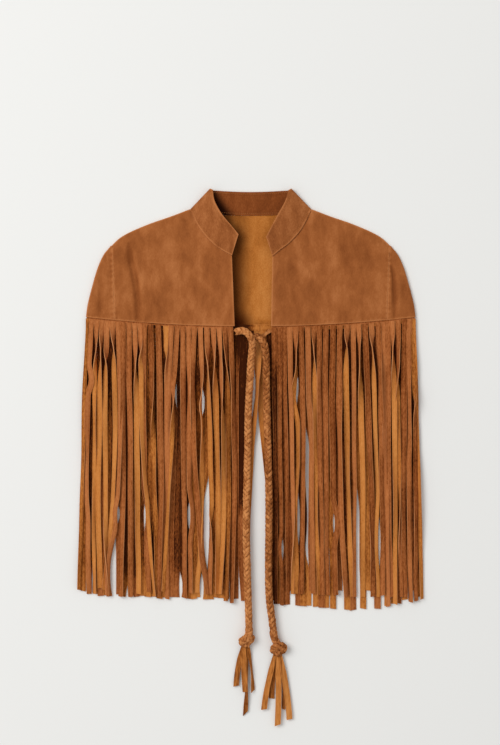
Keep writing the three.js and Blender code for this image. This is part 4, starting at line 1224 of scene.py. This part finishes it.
# ======== Topstitching ========
# Sewn with a stout brown thread, about 3.3 mm to the stitch: one row above the fronts' and the back's hem,
# one beside each cap seam and one all round inside the collar's edges. Every stitch dips into the suede
# at both ends.
STITCH = 3.3
THREAD_RADIUS = 0.32
STITCH_SHOWS = 2.6
HEM_ROW = 3.0 / 130  # of the front's height
SEAM_ROW = 1 - 2.4 / 192  # of its width
BACK_ROW = 3.6  # above the back's hem
thread = suede("thread", tint(140, 82, 42), tint(172, 108, 60), tint(196, 134, 84), nap=2400, bump=0.1)
deselect()
bpy.ops.mesh.primitive_cylinder_add(vertices=6, radius=THREAD_RADIUS / 1000, depth=STITCH_SHOWS / 1000,
                                    rotation=(0, math.pi / 2, 0), location=(0, 0, 0))
one_stitch = bpy.context.object
bpy.ops.object.transform_apply(location=True, rotation=True, scale=True)
bpy.ops.object.mode_set(mode="EDIT")
for cut in (-0.0007, 0.0007):  # so that the stitch can bend
    bpy.ops.mesh.select_all(action="SELECT")
    bpy.ops.mesh.bisect(plane_co=(cut, 0, 0), plane_no=(1, 0, 0))
bpy.ops.object.mode_set(mode="OBJECT")
stitch_points = [v.co * 1000 for v in one_stitch.data.vertices]
stitch_faces = [tuple(f.vertices) for f in one_stitch.data.polygons]
bpy.data.objects.remove(one_stitch)


def sew(name, rows):
    """rows: lists of points in mm on the suede's upper face, each followed by a line of stitches."""
    verts, faces = [], []
    for row in rows:
        row = np.array(row, float)
        along = distances(row)
        count = int(along[-1] / STITCH)
        for k in range(count):
            ends = np.array([[np.interp((k + a) * along[-1] / count, along, row[:, c]) for c in range(3)]
                             for a in (0.1, 0.9)])
            run = unit(ends[1:] - ends[:1])
            side = unit(np.cross([0, 0, 1.0], run))
            up = np.cross(run, side)
            start = len(verts)
            for p in stitch_points:
                dip = -0.55 * (abs(p.x) / (STITCH_SHOWS / 2)) ** 4
                at = ends.mean(axis=0) + run[0] * p.x + side[0] * p.y + up[0] * (p.z + dip + 0.12)
                verts.append(place(*at))
            faces += [tuple(start + i for i in face) for face in stitch_faces]
    piece = made(name, verts, faces, [thread])
    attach(piece, "root")


def on_top(point, wall):
    x, y, z = point
    return x, y, z + wall / 2


for side, front in FRONTS.items():
    hem_row = [on_top(front_point(side, u, HEM_ROW)[0], SUEDE) for u in np.linspace(0.01, 0.995, 120)]
    seam_row = [on_top(front_point(side, SEAM_ROW, v)[0], SUEDE) for v in np.linspace(0.02, 0.9, 60)]
    behind = [(front["sign"] * x, hem_y(x) + BACK_ROW, 0.5) for x in np.linspace(1, 216, 140)]
    sew("hem_stitching_" + side, [hem_row, seam_row, behind])
    low_row = STITCH_INSET / COLLAR_FRONT[1]
    paths = [[(0.042, v) for v in np.linspace(low_row, 1 - low_row, 20)]]
    for start, end, height in ((0.045, 0.99, COLLAR_FRONT[1]), (2.02, 3, COLLAR_BACK_HEIGHT)):
        for v in (STITCH_INSET / height, 1 - STITCH_INSET / height):
            paths.append([(s, v) for s in np.linspace(start, end, 60)])
    rows = [[on_top(collar_point(side, s, v), COLLAR_WALL) for s, v in path] for path in paths]
    sew("collar_stitching_" + side, rows)
